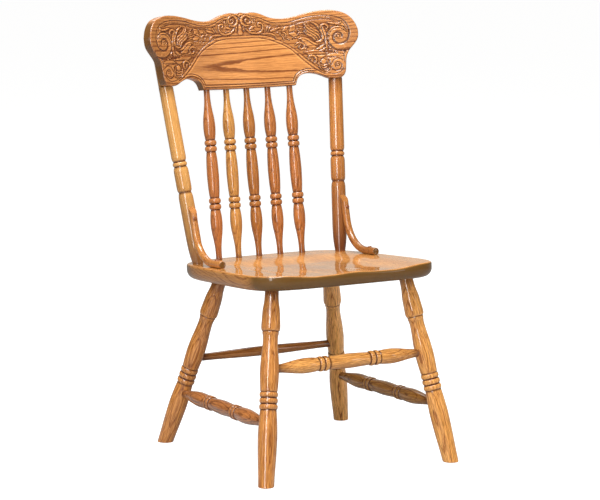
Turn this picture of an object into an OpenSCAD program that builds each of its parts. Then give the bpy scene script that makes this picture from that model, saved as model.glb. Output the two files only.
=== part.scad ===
// Pressback side chair in oak: glued and saddled seat, turned legs, stretchers, posts and
// spindles, and a bent crest rail lapped onto the posts. Sizes are in millimetres.
// The sitter faces -Y, +Z is up, and the origin is on the floor under the middle of the chair.

/* [Seat] */
// Height of the seat top above the floor, over the origin
seat_height = 441; // [420:1:470]
// Slope of the seat down towards the back, in degrees
seat_slope = 4; // [1:0.5:6]
// Width of the seat halfway back
seat_width = 460; // [446:2:500]
// How much wider the seat is at the front than at the back
seat_taper = 46; // [0:2:48]
// Reach of the seat in front of the origin
seat_front = 264; // [258:1:290]
// Reach of the seat behind the origin
seat_back = 219; // [215:1:250]
// Thickness of the seat blank
seat_thick = 34; // [32:1:42]
// Depth of the hollow for the sitter
saddle_depth = 9; // [3:0.5:10]
// Height of the ridge between the thighs
pommel_height = 3; // [0:0.5:5]
// How far the underside of the edge is drawn in
seat_undercut = 15; // [8:1:20]
// Radius on the top edge of the seat
seat_edge_radius = 5; // [2:0.5:7]

/* [Legs] */
// Distance between the two front feet
front_feet = 480; // [440:2:520]
// Distance between the two rear feet
rear_feet = 480; // [440:2:520]
// Reach of the front feet in front of the origin
front_feet_reach = 282; // [262:1:300]
// Reach of the rear feet behind the origin
rear_feet_reach = 214; // [196:1:240]
// Distance between the two front legs under the seat
front_tops = 346; // [320:2:380]
// Distance between the two rear legs under the seat
rear_tops = 292; // [270:2:320]
// Reach of the front legs in front of the origin under the seat
front_tops_reach = 188; // [170:1:205]
// Reach of the rear legs behind the origin under the seat
rear_tops_reach = 107; // [90:1:125]
// Largest diameter of a leg
leg_dia = 43; // [40:0.5:48]
// Diameter of a leg where it meets the seat
leg_top_dia = 30.5; // [28:0.5:34]
// Diameter of the neck below the upper swelling
leg_neck_dia = 33.5; // [31:0.5:36]
// Diameter of the rings on a leg
leg_ring_dia = 41; // [39:0.5:44]
// Diameter of a leg where it stands on the floor
leg_foot_dia = 35.5; // [32:0.5:38]
// Length of a front leg above its cut line
front_leg_upper = 94; // [80:1:110]
// Length of a rear leg above its cut line
rear_leg_upper = 97; // [88:1:110]
// Distance from the cut line to the middle ring
leg_middle = 153; // [140:1:165]
// Spacing of the rings on the legs
leg_ring_pitch = 13.5; // [12:0.5:15]
// Diameter of the round tenon into the seat
leg_tenon_dia = 25; // [20:0.5:27]
// Length of the round tenon into the seat
leg_tenon_length = 20; // [16:1:20]

/* [Stretchers] */
// Height of the front stretcher above the floor
front_stretcher_height = 248; // [235:1:265]
// Height of the rear stretcher above the floor
rear_stretcher_height = 205; // [190:1:225]
// Height of the side stretchers at the front legs
side_stretcher_front = 133; // [120:1:145]
// Height of the side stretchers at the rear legs
side_stretcher_rear = 120.5; // [110:0.5:140]
// Largest diameter of the turned stretchers
stretcher_dia = 34.5; // [30:0.5:38]
// Diameter of the turned stretchers at their ends
stretcher_end_dia = 19; // [17:0.5:22]
// Distance from the middle of a stretcher to a pair of beads
stretcher_bead_reach = 66; // [55:1:80]
// Diameter of the rear stretcher in its middle
rear_stretcher_dia = 23; // [20:0.5:28]
// Diameter of the rear stretcher at its ends
rear_stretcher_end_dia = 17; // [16.5:0.5:20]
// Diameter of the stretcher tenons
stretcher_tenon_dia = 16; // [14:0.5:16.5]
// Length of the stretcher tenons inside the legs
stretcher_tenon_length = 18; // [12:1:20]

/* [Back posts] */
// Distance between the posts on the seat
post_feet = 381; // [370:1:395]
// Reach of the posts behind the origin on the seat
post_feet_reach = 135; // [130:0.5:140]
// Distance between the posts at the crest rail
post_tops = 453; // [442:1:462]
// How far the front of the posts stands behind the front of the crest rail
post_set_back = 4.6; // [2:0.2:7]
// Diameter of the posts
post_dia = 34.5; // [32:0.5:37]
// Diameter of the posts where they meet the seat
post_foot_dia = 24; // [22:0.5:28]
// Height of the lower groove of a post above the seat
post_groove_height = 168; // [160:1:180]
// Length of the barrel between the two grooves
post_barrel_length = 60; // [50:1:70]
// Length of the tongue behind the crest rail
post_tongue_length = 63; // [50:1:72]
// Diameter of the post tenons
post_tenon_dia = 19; // [16:0.5:20]
// Length of the post tenons
post_tenon_length = 22; // [18:1:24]

/* [Spindles] */
// Spacing of the spindles on the seat
spindle_foot_pitch = 55.8; // [50:0.2:60]
// Spacing of the spindles at the crest rail
spindle_top_pitch = 55.4; // [50:0.2:58]
// Reach of the middle spindle behind the origin on the seat
spindle_feet_reach = 189; // [180:1:196]
// How far the outer spindles stand forward of the middle one
spindle_bow = 9; // [0:0.5:14]
// Largest diameter of a spindle
spindle_dia = 28.5; // [24:0.5:31]
// Diameter of a spindle at its ends
spindle_end_dia = 14.3; // [13.5:0.1:17]
// Diameter of a spindle beside its beads
spindle_waist_dia = 23; // [20:0.5:23.5]
// Distance from the middle of a spindle to a pair of beads
spindle_bead_reach = 68; // [60:1:76]
// Diameter of the spindle tenons
spindle_tenon_dia = 12.7; // [10:0.1:13]
// Length of the spindle tenons
spindle_tenon_length = 20; // [14:1:22]

/* [Crest rail] */
// Height of the crest rail's lower ears above the floor
crest_height = 837; // [820:1:860]
// Reach of the crest rail behind the origin
crest_reach = 245.5; // [235:0.5:260]
// Backward lean of the crest rail, in degrees
crest_rake = 12; // [10:0.5:14]
// Radius of the bend, at the front face
crest_radius = 585; // [520:5:700]
// Thickness of the crest rail
crest_thick = 20; // [19:0.5:24]
// Width of the crest rail across its ears
crest_width = 552; // [538:2:580]
// Height of the middle lobe above the lower ears
crest_rise = 165; // [150:1:180]
// Drop of the middle tab below the lower ears
tab_drop = 15.3; // [10:0.1:20]

/* [Seat braces] */
// Distance between the two braces
brace_spread = 405; // [398:1:412]
// Diameter of a brace
brace_dia = 17.5; // [15:0.5:19]
// Radius of the bend in a brace
brace_bend = 85; // [76:1:94]
// Reach of the front end of a brace in front of the origin
brace_front = 11; // [4:1:18]
// Length of the foot that lies on the seat
brace_foot_length = 47; // [44:0.5:52]
// Angle of the upper part to the seat, in degrees
brace_angle = 79.5; // [76:0.5:81]
// Length of a brace above its bend
brace_upper_length = 60; // [52:1:66]

/* [Fastenings] */
// Gap left all round a glued joint
glue_gap = 0.15; // [0.1:0.05:0.25]
// Diameter of the screws
screw_dia = 4.5; // [3.5:0.5:5]
// Diameter of the screw heads
screw_head_dia = 8.5; // [8:0.5:9]
// Length of the screws through the braces and posts
screw_length = 26; // [22:1:28]
// Diameter of the plugs over the brace screws
plug_dia = 9.5; // [9.5:0.5:10.5]

/* [Hidden] */
$fn = 64;

// Woods and metal
oak_light = "#d9973f";
oak_mid = "#c9822f";
oak_dark = "#a9652a";
steel = "silver";

seat_boards = 5;
far = 900;

// General curves and placing

function mix(a, b, t) = a + (b - a) * t;
function ease(t) = let(u = min(max(t, 0), 1)) u * u * (3 - 2 * u);

// Slope of a curve through knots at knot i
function knot_slope(k, i) = let(a = k[max(i - 1, 0)], b = k[min(i + 1, len(k) - 1)])
    (b[1] - a[1]) / (b[0] - a[0]);

// Point between two knots, for t from 0 to 1
function between(a, b, sa, sb, t) = let(h = b[0] - a[0]) [
    a[0] + h * t,
    (2 * t * t * t - 3 * t * t + 1) * a[1] + (t * t * t - 2 * t * t + t) * h * sa
        + (3 * t * t - 2 * t * t * t) * b[1] + (t * t * t - t * t) * h * sb];

// Smooth stretch of a turning through knots of [distance, diameter]
function swell(k, n = 4) = [
    for (i = [0:len(k) - 2]) for (j = [0:n - 1])
        between(k[i], k[i + 1], knot_slope(k, i), knot_slope(k, i + 1), j / n),
    k[len(k) - 1]];

// Round bead of a turning, from groove to groove
function bead(middle, width, dia, groove_dia, n = 6) = [
    for (j = [0:n]) [middle - width / 2 * cos(180 * j / n), mix(groove_dia, dia, sin(180 * j / n))]];

function mirrored(p) = [for (i = [len(p) - 1:-1:0]) [-p[i][0], p[i][1]]];

// Smooth open curve through points of a flat outline
function through(p, n = 3) = [
    for (i = [0:len(p) - 2])
        let(a = p[max(i - 1, 0)], b = p[i], c = p[i + 1], d = p[min(i + 2, len(p) - 1)])
            for (j = [0:n - 1]) let(t = j / n)
                b + (c - a) * t / 2 + (2 * a - 5 * b + 4 * c - d) * t * t / 2
                    + (3 * b - a - 3 * c + d) * t * t * t / 2,
    p[len(p) - 1]];

// Numbers in rising order, without repeats
function sorted(v) = len(v) < 2 ? v : let(m = v[floor(len(v) / 2)])
    concat(sorted([for (x = v) if (x < m) x]), [m], sorted([for (x = v) if (x > m) x]));

// Solid of revolution from a list of [distance, diameter], with its seam turned off the lean
module turned(p) {
    rotate([0, 0, 100]) rotate_extrude()
        polygon([[0, p[0][0]], for (q = p) [q[1] / 2, q[0]], [0, p[len(p) - 1][0]]]);
}

// Closed solid through rings of points, closed at both ends round the points first and last
module loft(rings, first, last) {
    n = len(rings[0]);
    end = (len(rings) - 1) * n;
    points = concat([for (r = rings) for (p = r) p], [first, last]);
    sides = [for (r = [0:n:end - n]) for (i = [0:n - 1]) let(k = (i + 1) % n)
        for (f = [[r + i, r + k, r + n + i], [r + k, r + n + k, r + n + i]]) f];
    starts = [for (i = [0:n - 1]) [end + n, (i + 1) % n, i]];
    ends = [for (i = [0:n - 1]) [end + n + 1, end + i, end + (i + 1) % n]];
    polyhedron(points, concat(sides, starts, ends));
}

// Turns the children's +Z from point a towards point b
module along(a, b) {
    d = b - a;
    translate(a) rotate([0, acos(d[2] / norm(d)), atan2(d[1], d[0])]) children();
}

// Round peg or hole along a line, from distance s to distance e
module peg(a, b, dia, s, e) {
    along(a, b) translate([0, 0, s]) cylinder(d = dia, h = e - s);
}

module mirror_if(yes) {
    if (yes) mirror([1, 0, 0]) children();
    else children();
}

// Seat

// Places the children on the sloping top of the seat
module on_seat() {
    translate([0, 0, seat_height]) rotate([-seat_slope, 0, 0]) children();
}

// Point on the floor plan dropped onto a plane parallel to the seat top, lower by drop
function seat_point(x, y, drop = 0) = [x, y, seat_height - y * tan(seat_slope) - drop / cos(seat_slope)];

seat_half = seat_width / 2;
seat_mid_y = (seat_back - seat_front) / 2;
seat_reach = (seat_back + seat_front) / 2;
// Squareness of the front and rear corners: 2 is an ellipse
front_squareness = 5.6;
rear_squareness = 4.8;
rim_points = 72;
saddle_side = 186;
saddle_rear = 128;

// Outline of the seat at angle a, drawn in by an inset
function rim(a, inset = 0) = let(w = seat_half - inset, h = seat_reach - inset,
    n = sin(a) < 0 ? front_squareness : rear_squareness,
    r = pow(pow(abs(cos(a)) / w, n) + pow(abs(sin(a)) / h, n), -1 / n))
    [r * cos(a) * (1 - seat_taper / 2 / seat_half / 2 * r * sin(a) / h), seat_mid_y + r * sin(a)];

// Angle of rim point i, with the points drawn together at the corners
function rim_angle(i) = 360 * i / rim_points + 8.6 * sin(4 * 360 * i / rim_points);

// Height of the seat top over the plane of the blank
function saddle(x, y) = let(
    across = ease((saddle_side - abs(x)) / 90),
    back = ease((saddle_rear - y) / 110),
    front = 1 - 0.25 * ease((-y - 150) / 110),
    ridge = exp(-pow(x / 42, 2)) * ease((-y - 20) / 150))
    -saddle_depth * across * back * front + pommel_height * ridge * back;

function seat_ring(inset, z) = [for (i = [0:rim_points - 1])
    let(p = rim(rim_angle(i), inset)) [p[0], p[1], z]];
function seat_top_ring(t) = [for (i = [0:rim_points - 1])
    let(p = rim(rim_angle(i), seat_edge_radius), x = p[0] * t, y = mix(seat_mid_y, p[1], t))
        [x, y, saddle(x, y)]];

// Height taken off the edge where the hollow runs out over it
function edge_drop(i) = let(p = rim(rim_angle(i), seat_edge_radius)) saddle(p[0], p[1]);
function rounded_ring(a) = [for (i = [0:rim_points - 1])
    let(p = rim(rim_angle(i), seat_edge_radius * (1 - sin(a))))
        [p[0], p[1], edge_drop(i) - seat_edge_radius * (1 - cos(a))]];
undercut_start = seat_edge_radius + saddle_depth;
function undercut_ring(a) = seat_ring(seat_undercut * (1 - cos(a)),
    -undercut_start - (seat_thick - undercut_start) * sin(a));

seat_rings = concat(
    [for (t = [0.15, 0.32, 0.48, 0.62, 0.74, 0.85, 0.94, 1]) seat_top_ring(t)],
    [for (a = [30, 60, 90]) rounded_ring(a)],
    [for (a = [0:22.5:90]) undercut_ring(a)]);

// Whole seat before it is parted into its boards
module seat_form() {
    loft(seat_rings, [0, seat_mid_y, saddle(0, seat_mid_y)], [0, seat_mid_y, -seat_thick]);
}

module seat_board(number) {
    board_width = seat_width / seat_boards;
    color(number % 2 == 0 ? oak_light : oak_mid)
        difference() {
            on_seat() intersection() {
                seat_form();
                translate([-seat_half + (number - 1) * board_width, -far / 2, -far / 2])
                    cube([board_width, far, far]);
            }
            for (right = [false, true]) {
                mirror_if(right) leg_socket(front_top, front_foot);
                mirror_if(right) leg_socket(rear_top, rear_foot);
                mirror_if(right) peg(post_foot, post_top, post_tenon_dia + 2 * glue_gap,
                    -post_tenon_length - end_gap, far / 20);
                mirror_if(right) brace_foot_screw_hole();
            }
            for (k = [-2:2])
                peg(spindle_foot(k), spindle_top(k), spindle_tenon_dia + 2 * glue_gap,
                    -spindle_tenon_length - end_gap, far / 20);
        }
}

// Legs, made on the left and mirrored for the right

end_gap = 1;
front_foot = [-front_feet / 2, -front_feet_reach, 0];
rear_foot = [-rear_feet / 2, rear_feet_reach, 0];
front_top = seat_point(-front_tops / 2, -front_tops_reach, seat_thick);
rear_top = seat_point(-rear_tops / 2, rear_tops_reach, seat_thick);

module leg_socket(top, foot) {
    peg(top, foot, leg_tenon_dia + 2 * glue_gap, -leg_tenon_length - end_gap, far / 20);
}

// Turning of a leg from the seat down, with its cut line at distance cut
function leg_turning(cut, length) = let(
    rings = cut + leg_middle,
    waist = mix(leg_neck_dia, leg_ring_dia, 0.55),
    low = length - rings - 1.5 * leg_ring_pitch,
    low_start = rings + 1.5 * leg_ring_pitch + 1.5)
    concat(
        swell([[-12, leg_top_dia], [0, leg_top_dia], [cut * 0.3, mix(leg_top_dia, leg_dia, 0.2)],
            [cut * 0.5, mix(leg_top_dia, leg_dia, 0.65)], [cut * 0.75, mix(leg_top_dia, leg_dia, 0.88)],
            [cut * 0.92, leg_dia - 0.4], [cut - 2, mix(leg_neck_dia, leg_dia, 0.75)]]),
        [[cut, mix(leg_neck_dia, leg_dia, 0.25)]],
        swell([[cut + 2.5, mix(leg_neck_dia, leg_dia, 0.42)],
            [cut + leg_middle * 0.07, leg_neck_dia + 0.8], [cut + leg_middle * 0.13, leg_neck_dia],
            [cut + leg_middle * 0.24, mix(leg_neck_dia, leg_dia, 0.2)],
            [cut + leg_middle * 0.4, mix(leg_neck_dia, leg_dia, 0.68)],
            [cut + leg_middle * 0.58, leg_dia - 0.4], [cut + leg_middle * 0.72, leg_dia - 1.6],
            [rings - 1.5 * leg_ring_pitch - 1.5, mix(waist, leg_dia, 0.2)]]),
        bead(rings - leg_ring_pitch, leg_ring_pitch - 2, leg_ring_dia, waist - 1.5),
        bead(rings, leg_ring_pitch - 2, leg_ring_dia, waist - 1.5),
        bead(rings + leg_ring_pitch, leg_ring_pitch - 2, leg_ring_dia + 0.4, waist - 1.5),
        swell([[low_start, waist - 0.4], [low_start + low * 0.12, mix(waist, leg_dia, 0.5)],
            [low_start + low * 0.3, leg_dia], [low_start + low * 0.42, leg_dia - 0.3],
            [low_start + low * 0.6, mix(leg_foot_dia, leg_dia, 0.72)],
            [low_start + low * 0.85, mix(leg_foot_dia, leg_dia, 0.22)]]),
        [[low_start + low * 1.15, leg_foot_dia - 1.6]]);

module leg(top, foot, cut) {
    length = norm(foot - top);
    difference() {
        union() {
            difference() {
                along(top, foot) turned(leg_turning(cut, length));
                on_seat() translate([-far / 2, -far / 2, -seat_thick]) cube([far, far, far / 9]);
            }
            peg(top, foot, leg_tenon_dia, -leg_tenon_length, far / 30);
        }
        translate([-far / 2, -far / 2, -far / 9]) cube([far, far, far / 9]);
    }
}

// Place on a leg's axis at height z
function on_leg(top, foot, z) = mix(foot, top, z / top[2]);
function flipped(p) = [-p[0], p[1], p[2]];

front_stretcher_end = on_leg(front_top, front_foot, front_stretcher_height);
rear_stretcher_end = on_leg(rear_top, rear_foot, rear_stretcher_height);
side_end_front = on_leg(front_top, front_foot, side_stretcher_front);
side_end_rear = on_leg(rear_top, rear_foot, side_stretcher_rear);
// The tenons stop short of the middle of the leg by this much
stretcher_stop = leg_dia / 2 - stretcher_tenon_length;

// Hole in a leg, from its axis at a towards the other leg's axis at b
module stretcher_socket(a, b) {
    peg(a, b, stretcher_tenon_dia + 2 * glue_gap, stretcher_stop - end_gap, leg_dia);
}

module front_leg() {
    color(oak_light) difference() {
        leg(front_top, front_foot, front_leg_upper);
        stretcher_socket(front_stretcher_end, flipped(front_stretcher_end));
        stretcher_socket(side_end_front, side_end_rear);
    }
}

module rear_leg() {
    color(oak_dark) difference() {
        leg(rear_top, rear_foot, rear_leg_upper);
        stretcher_socket(rear_stretcher_end, flipped(rear_stretcher_end));
        stretcher_socket(side_end_rear, side_end_front);
    }
}

// Stretchers

// Half of a turned stretcher from its middle to its end, with the beads of a pair this far
// to each side of the middle of the pair
stretcher_bead_half = 6.4;
function stretcher_half(half) = let(
    b = stretcher_bead_reach,
    p = stretcher_bead_half,
    waist = mix(stretcher_end_dia, stretcher_dia, 0.7),
    out = half - b - 14)
    concat(
        swell([[0, stretcher_dia - 0.7], [b * 0.3, stretcher_dia - 2], [b - 2 * p - 1, waist - 0.6]]),
        bead(b - p, 2 * p - 1, stretcher_dia, waist - 1.5),
        bead(b + p, 2 * p - 1, stretcher_dia, waist - 1.5),
        swell([[b + 14, waist + 0.4], [b + 14 + out * 0.12, stretcher_dia - 1.2],
            [b + 14 + out * 0.3, stretcher_dia],
            [b + 14 + out * 0.48, mix(stretcher_end_dia, stretcher_dia, 0.78)],
            [b + 14 + out * 0.7, mix(stretcher_end_dia, stretcher_dia, 0.32)],
            [b + 14 + out * 0.86, stretcher_end_dia + 0.4], [half, stretcher_end_dia]]));

// Stretcher between the axes of two legs, whose surfaces trim it
module stretcher_body(a, b, half_profile) {
    length = norm(b - a);
    along(mix(a, b, 0.5), b)
        turned(concat(mirrored(half_profile), [for (i = [1:len(half_profile) - 1]) half_profile[i]]));
}

module stretcher_tenon(a, b) {
    peg(a, b, stretcher_tenon_dia, stretcher_stop, stretcher_stop + leg_dia);
}

// Cuts away what would reach into a leg, with a glue gap round the turning
module leg_room(top, foot, cut) {
    along(top, foot) turned([for (q = leg_turning(cut, norm(foot - top))) [q[0], q[1] + 2 * glue_gap]]);
}

module front_stretcher() {
    a = front_stretcher_end;
    b = flipped(a);
    color(oak_mid) union() {
        difference() {
            stretcher_body(a, b, stretcher_half(norm(b - a) / 2 - leg_neck_dia / 3));
            leg_room(front_top, front_foot, front_leg_upper);
            mirror([1, 0, 0]) leg_room(front_top, front_foot, front_leg_upper);
        }
        stretcher_tenon(a, b);
        stretcher_tenon(b, a);
    }
}

module side_stretcher() {
    a = side_end_front;
    b = side_end_rear;
    color(oak_dark) union() {
        difference() {
            stretcher_body(a, b, stretcher_half(norm(b - a) / 2 - leg_neck_dia / 3));
            leg_room(front_top, front_foot, front_leg_upper);
            leg_room(rear_top, rear_foot, rear_leg_upper);
        }
        stretcher_tenon(a, b);
        stretcher_tenon(b, a);
    }
}

module rear_stretcher() {
    a = rear_stretcher_end;
    b = flipped(a);
    half = norm(b - a) / 2;
    profile = swell([[0, rear_stretcher_dia], [half * 0.25, rear_stretcher_dia - 0.5],
        [half * 0.75, rear_stretcher_end_dia + 0.8], [half - leg_neck_dia / 3, rear_stretcher_end_dia]]);
    color(oak_dark) union() {
        difference() {
            stretcher_body(a, b, profile);
            leg_room(rear_top, rear_foot, rear_leg_upper);
            mirror([1, 0, 0]) leg_room(rear_top, rear_foot, rear_leg_upper);
        }
        stretcher_tenon(a, b);
        stretcher_tenon(b, a);
    }
}

// Crest rail, in its own leaning frame: z runs up its face from the lower ears, y back

module on_crest() {
    translate([0, crest_reach, crest_height]) rotate([-crest_rake, 0, 0]) children();
}

// Place at x, at a depth behind the front face and at height z on the crest rail
function crest_point(x, depth, z) = let(r = crest_radius + depth, y = sqrt(r * r - x * x) - crest_radius)
    [x, crest_reach + y * cos(crest_rake) + z * sin(crest_rake),
        crest_height - y * sin(crest_rake) + z * cos(crest_rake)];

ear_half = crest_width / 2;
post_half = post_tops / 2;
// The tab reaches this far past the axes of the outer spindles
tab_margin = 13;
tab_half = 2 * spindle_top_pitch + tab_margin;
ear_bottom = -7;

// Upper edge of the right half from the middle to the tip of the ear, and lower edge from the tab,
// drawn once and then fitted to the sizes above
crest_upper_edge = [[0, 165], [13, 162.9], [29, 164.4], [45, 161.8], [58, 156.9], [70, 151.5], [83, 147.7],
    [104, 145.4], [127, 147.4], [154, 153.2], [181, 157.6], [204, 158.5], [219, 157.4], [231, 154.6],
    [242, 150.8], [253.5, 144.4], [264, 133.8], [271.5, 120.5], [276, 105.5]];
crest_lower_edge = [[124, -15.3], [125.2, -11.3], [128.4, -2.5], [133.7, 4.4], [141, 8.9], [155, 12],
    [172, 9.3], [187, 3], [200, -4], [217, -7], [229.5, -5], [236, 0], [240, 7.5], [241.9, 18],
    [243.3, 30], [245.2, 41], [248.6, 50], [253.7, 58.5], [260.5, 66.3], [267, 73.6], [272.5, 81.5],
    [275.4, 90], [276, 98]];

// Half widths and heights of that drawing: tab, posts at their share of the way to the ears, ears
drawn_tab = crest_lower_edge[0][0];
drawn_ear = crest_upper_edge[len(crest_upper_edge) - 1][0];
drawn_post = mix(drawn_tab, drawn_ear, 0.665);
drawn_rise = crest_upper_edge[0][1];
drawn_drop = crest_lower_edge[0][1];
drawn_bottom = min([for (p = crest_lower_edge) if (p[0] > (drawn_tab + drawn_post) / 2) p[1]]);

function crest_x(x) = x < drawn_tab ? tab_half * x / drawn_tab
    : x < drawn_post ? mix(tab_half, post_half, (x - drawn_tab) / (drawn_post - drawn_tab))
    : mix(post_half, ear_half, (x - drawn_post) / (drawn_ear - drawn_post));
function crest_z(z) = z < drawn_bottom
    ? mix(ear_bottom, -tab_drop, (z - drawn_bottom) / (drawn_drop - drawn_bottom))
    : z < 0 ? z * ear_bottom / drawn_bottom
    : z * crest_rise / drawn_rise;
function fitted(p) = [crest_x(p[0]), crest_z(p[1])];
crest_upper = [for (p = through(crest_upper_edge)) fitted(p)];
crest_lower = concat([[0, -tab_drop]], [for (p = through(crest_lower_edge)) fitted(p)]);

// Places across the right half where either edge turns, and then across the whole rail
crest_turns = sorted([for (p = concat(crest_upper, crest_lower)) p[0]]);
crest_half = [for (i = [0:len(crest_turns) - 1])
    if (i == 0 || crest_turns[i] - crest_turns[i - 1] > 0.3) crest_turns[i]];
crest_stations = concat([for (i = [len(crest_half) - 1:-1:1]) -crest_half[i]], crest_half);

// Section of the rail at x, square to its bend, from the foot of the front face round to the back
function crest_section(x) = let(
    low = lookup(abs(x), crest_lower),
    high = lookup(abs(x), crest_upper),
    back = 1 + crest_thick / crest_radius,
    depth = sqrt(crest_radius * crest_radius - x * x))
    [for (c = [[1, low], [1, high], [back, high], [back, low]])
        [x * c[0], depth * c[0] - crest_radius, c[1]]];
function middle(ring) = (ring[0] + ring[2]) / 2;

// Everything in front of a depth behind the crest rail's front face, over height z0
module before_crest(depth, z0) {
    translate([0, -crest_radius, z0]) cylinder(r = crest_radius + depth, h = far / 3, $fn = 256);
}

module crest_rail() {
    sections = [for (x = crest_stations) crest_section(x)];
    color(oak_mid) difference() {
        on_crest() loft(sections, middle(sections[0]), middle(sections[len(sections) - 1]));
        for (k = [-2:2])
            peg(spindle_top(k), spindle_foot(k), spindle_tenon_dia + 2 * glue_gap,
                -spindle_tenon_length - end_gap, far / 20);
        for (right = [false, true]) for (z = crest_screw_heights)
            mirror_if(right) crest_screw_line(z) translate([0, 0, -far / 20])
                cylinder(d = screw_dia + glue_gap, h = far / 20 + screw_length + end_gap);
    }
}

// Back posts

post_foot = seat_point(-post_feet / 2, post_feet_reach);
post_depth = post_set_back + post_dia / 2;
post_top = crest_point(-post_half, post_depth, ear_bottom);
post_length = norm(post_top - post_foot);

function post_turning() = let(
    g = post_groove_height,
    b = post_barrel_length,
    d = post_dia,
    n = post_dia - 6,
    w = post_foot_dia)
    concat(
        swell([[-10, w - 2], [0, w], [10, mix(w, d, 0.3)], [22, mix(w, d, 0.62)], [38, mix(w, d, 0.86)],
            [60, d - 0.3], [g * 0.55, d], [g - 14, d - 0.5], [g - 5, d - 2.5]]),
        [[g, n]],
        swell([[g + 4, d - 1.5], [g + 10, d], [g + b / 2, d + 0.2], [g + b - 10, d], [g + b - 4, d - 1.5]]),
        [[g + b, n]],
        bead(g + b + 6, 9, d - 0.8, n + 0.5),
        [[g + b + 12.5, n]],
        swell([[g + b + 16, d - 2], [g + b + 20, d - 0.6], [g + b + 28, d - 0.3]]),
        [[post_length + far / 10, d - 1.8]]);

module back_post() {
    color(oak_light) difference() {
        union() {
            difference() {
                along(post_foot, post_top) turned(post_turning());
                on_seat() translate([-far / 2, -far / 2, -far / 9]) cube([far, far, far / 9]);
            }
            peg(post_foot, post_top, post_tenon_dia, -post_tenon_length, far / 30);
        }
        // The lap for the crest rail, its shoulder under the lower ear, and the end of the tongue
        on_crest() before_crest(crest_thick + glue_gap, ear_bottom - glue_gap);
        on_crest() translate([-far / 2, -far / 4, ear_bottom + post_tongue_length])
            cube([far, far / 2, far / 3]);
        for (z = crest_screw_heights) crest_screw_line(z) screw_shape(glue_gap, far / 20);
        brace_top_screw_line() cylinder(d = screw_dia + glue_gap, h = screw_length + end_gap);
    }
}

// Screws that hold the crest rail, driven from behind through the tongues

crest_screw_heights = [8, 33];
// The head lies this far inside the back of the tongue
screw_sink = 1.2;

// Line of a screw at height z of the crest rail, square to its bend, from the bottom of its bore
module crest_screw_line(z) {
    axis = post_axis_at(z);
    out = crest_out(axis[0], post_depth);
    head = axis + out * (post_dia / 2 - screw_sink);
    along(head, head - out) children();
}

// Place on the axis of a post at height z of the crest rail
function post_axis_at(z) = let(up = (post_top - post_foot) / post_length)
    post_top + up * (z - ear_bottom) / cos(atan2(up[0], up[2]));

// Direction square to the crest rail's bend, out of its back, at x and a depth behind its face
function crest_out(x, depth) = let(r = crest_radius + depth, c = sqrt(r * r - x * x) / r)
    [x / r, c * cos(crest_rake), -c * sin(crest_rake)];

// Countersunk screw from its head at 0 along +Z, with room all round and a bore of bore_dia
// that opens behind it where open is more than 0
module screw_shape(room = 0, open = 0, bore_dia = screw_head_dia) {
    head = screw_head_dia + 2 * room;
    shank = screw_dia + room;
    turned(concat(open > 0 ? [[-open, bore_dia + 2 * room], [0, bore_dia + 2 * room]] : [],
        [[0, head], [(head - shank) / 2, shank], [screw_length + room, shank]]));
}

module crest_screws() {
    color(steel) for (right = [false, true]) for (z = crest_screw_heights)
        mirror_if(right) crest_screw_line(z) screw_shape();
}

// Spindles

function spindle_foot(k) = seat_point(k * spindle_foot_pitch, spindle_feet_reach - spindle_bow * k * k / 4);
function spindle_top(k) = crest_point(k * spindle_top_pitch, crest_thick / 2, -tab_drop);

// Half of a spindle from its middle to its end, with the beads of a pair this far to each side
// of the middle of the pair
spindle_bead_half = 7;
function spindle_half(half) = let(
    d = spindle_dia,
    w = spindle_waist_dia,
    e = spindle_end_dia,
    b = spindle_bead_reach,
    p = spindle_bead_half,
    s = b + 2 * p + 2,
    out = half - s)
    concat(
        swell([[0, d], [b * 0.3, d - 1], [b * 0.56, mix(w, d, 0.5)], [b - 2 * p - 2, w]]),
        bead(b - p, 2 * p - 1.5, d, w - 1.5),
        bead(b + p, 2 * p - 1.5, d, w - 1.5),
        swell([[s, w + 0.5], [s + out * 0.1, mix(w, d, 0.7)], [s + out * 0.22, d], [s + out * 0.32, d - 0.6],
            [s + out * 0.44, mix(e, d, 0.78)], [s + out * 0.58, mix(e, d, 0.42)],
            [s + out * 0.72, mix(e, d, 0.14)], [s + out * 0.84, e + 0.3], [half + 12, e]]));

module spindle(k) {
    a = spindle_foot(k);
    b = spindle_top(k);
    half = norm(b - a) / 2;
    color(k == -1 ? oak_light : oak_dark) union() {
        difference() {
            stretcher_body(a, b, spindle_half(half));
            on_seat() translate([-far / 2, -far / 2, -far / 9]) cube([far, far, far / 9]);
            on_crest() translate([-far / 2, -far / 4, -tab_drop]) cube([far, far / 2, far / 3]);
        }
        peg(a, b, spindle_tenon_dia, -spindle_tenon_length, half);
        peg(b, a, spindle_tenon_dia, -spindle_tenon_length, half);
    }
}

// Seat braces, laid out flat on the sloping seat and mirrored for the right

brace_x = -brace_spread / 2;
// A flat this deep is planed under the foot
brace_flat = 0.5;
brace_lift = brace_dia / 2 - brace_flat;
brace_bend_start = brace_foot_length - brace_front;
brace_rise = [0, cos(brace_angle), sin(brace_angle)];
brace_bend_end = [brace_x, brace_bend_start + brace_bend * sin(brace_angle),
    brace_lift + brace_bend * (1 - cos(brace_angle))];
// Slant of the cut at the top, and the radius round the end grain of the foot
brace_slant = 50;
brace_end_radius = 2.5;
brace_sides = 20;
brace_bend_steps = 9;

// Ring of a brace of radius r round a point of its axis that runs at angle a, cut at a slant,
// and planed flat where it lies on the seat
function brace_ring(y, z, a, r, slant = 0) = [for (i = [0:brace_sides - 1])
    let(u = 360 * i / brace_sides, n = r * sin(u), s = -n * tan(slant))
        [brace_x + r * cos(u), y - n * sin(a) + s * cos(a), max(z + n * cos(a) + s * sin(a), 0)]];

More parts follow.
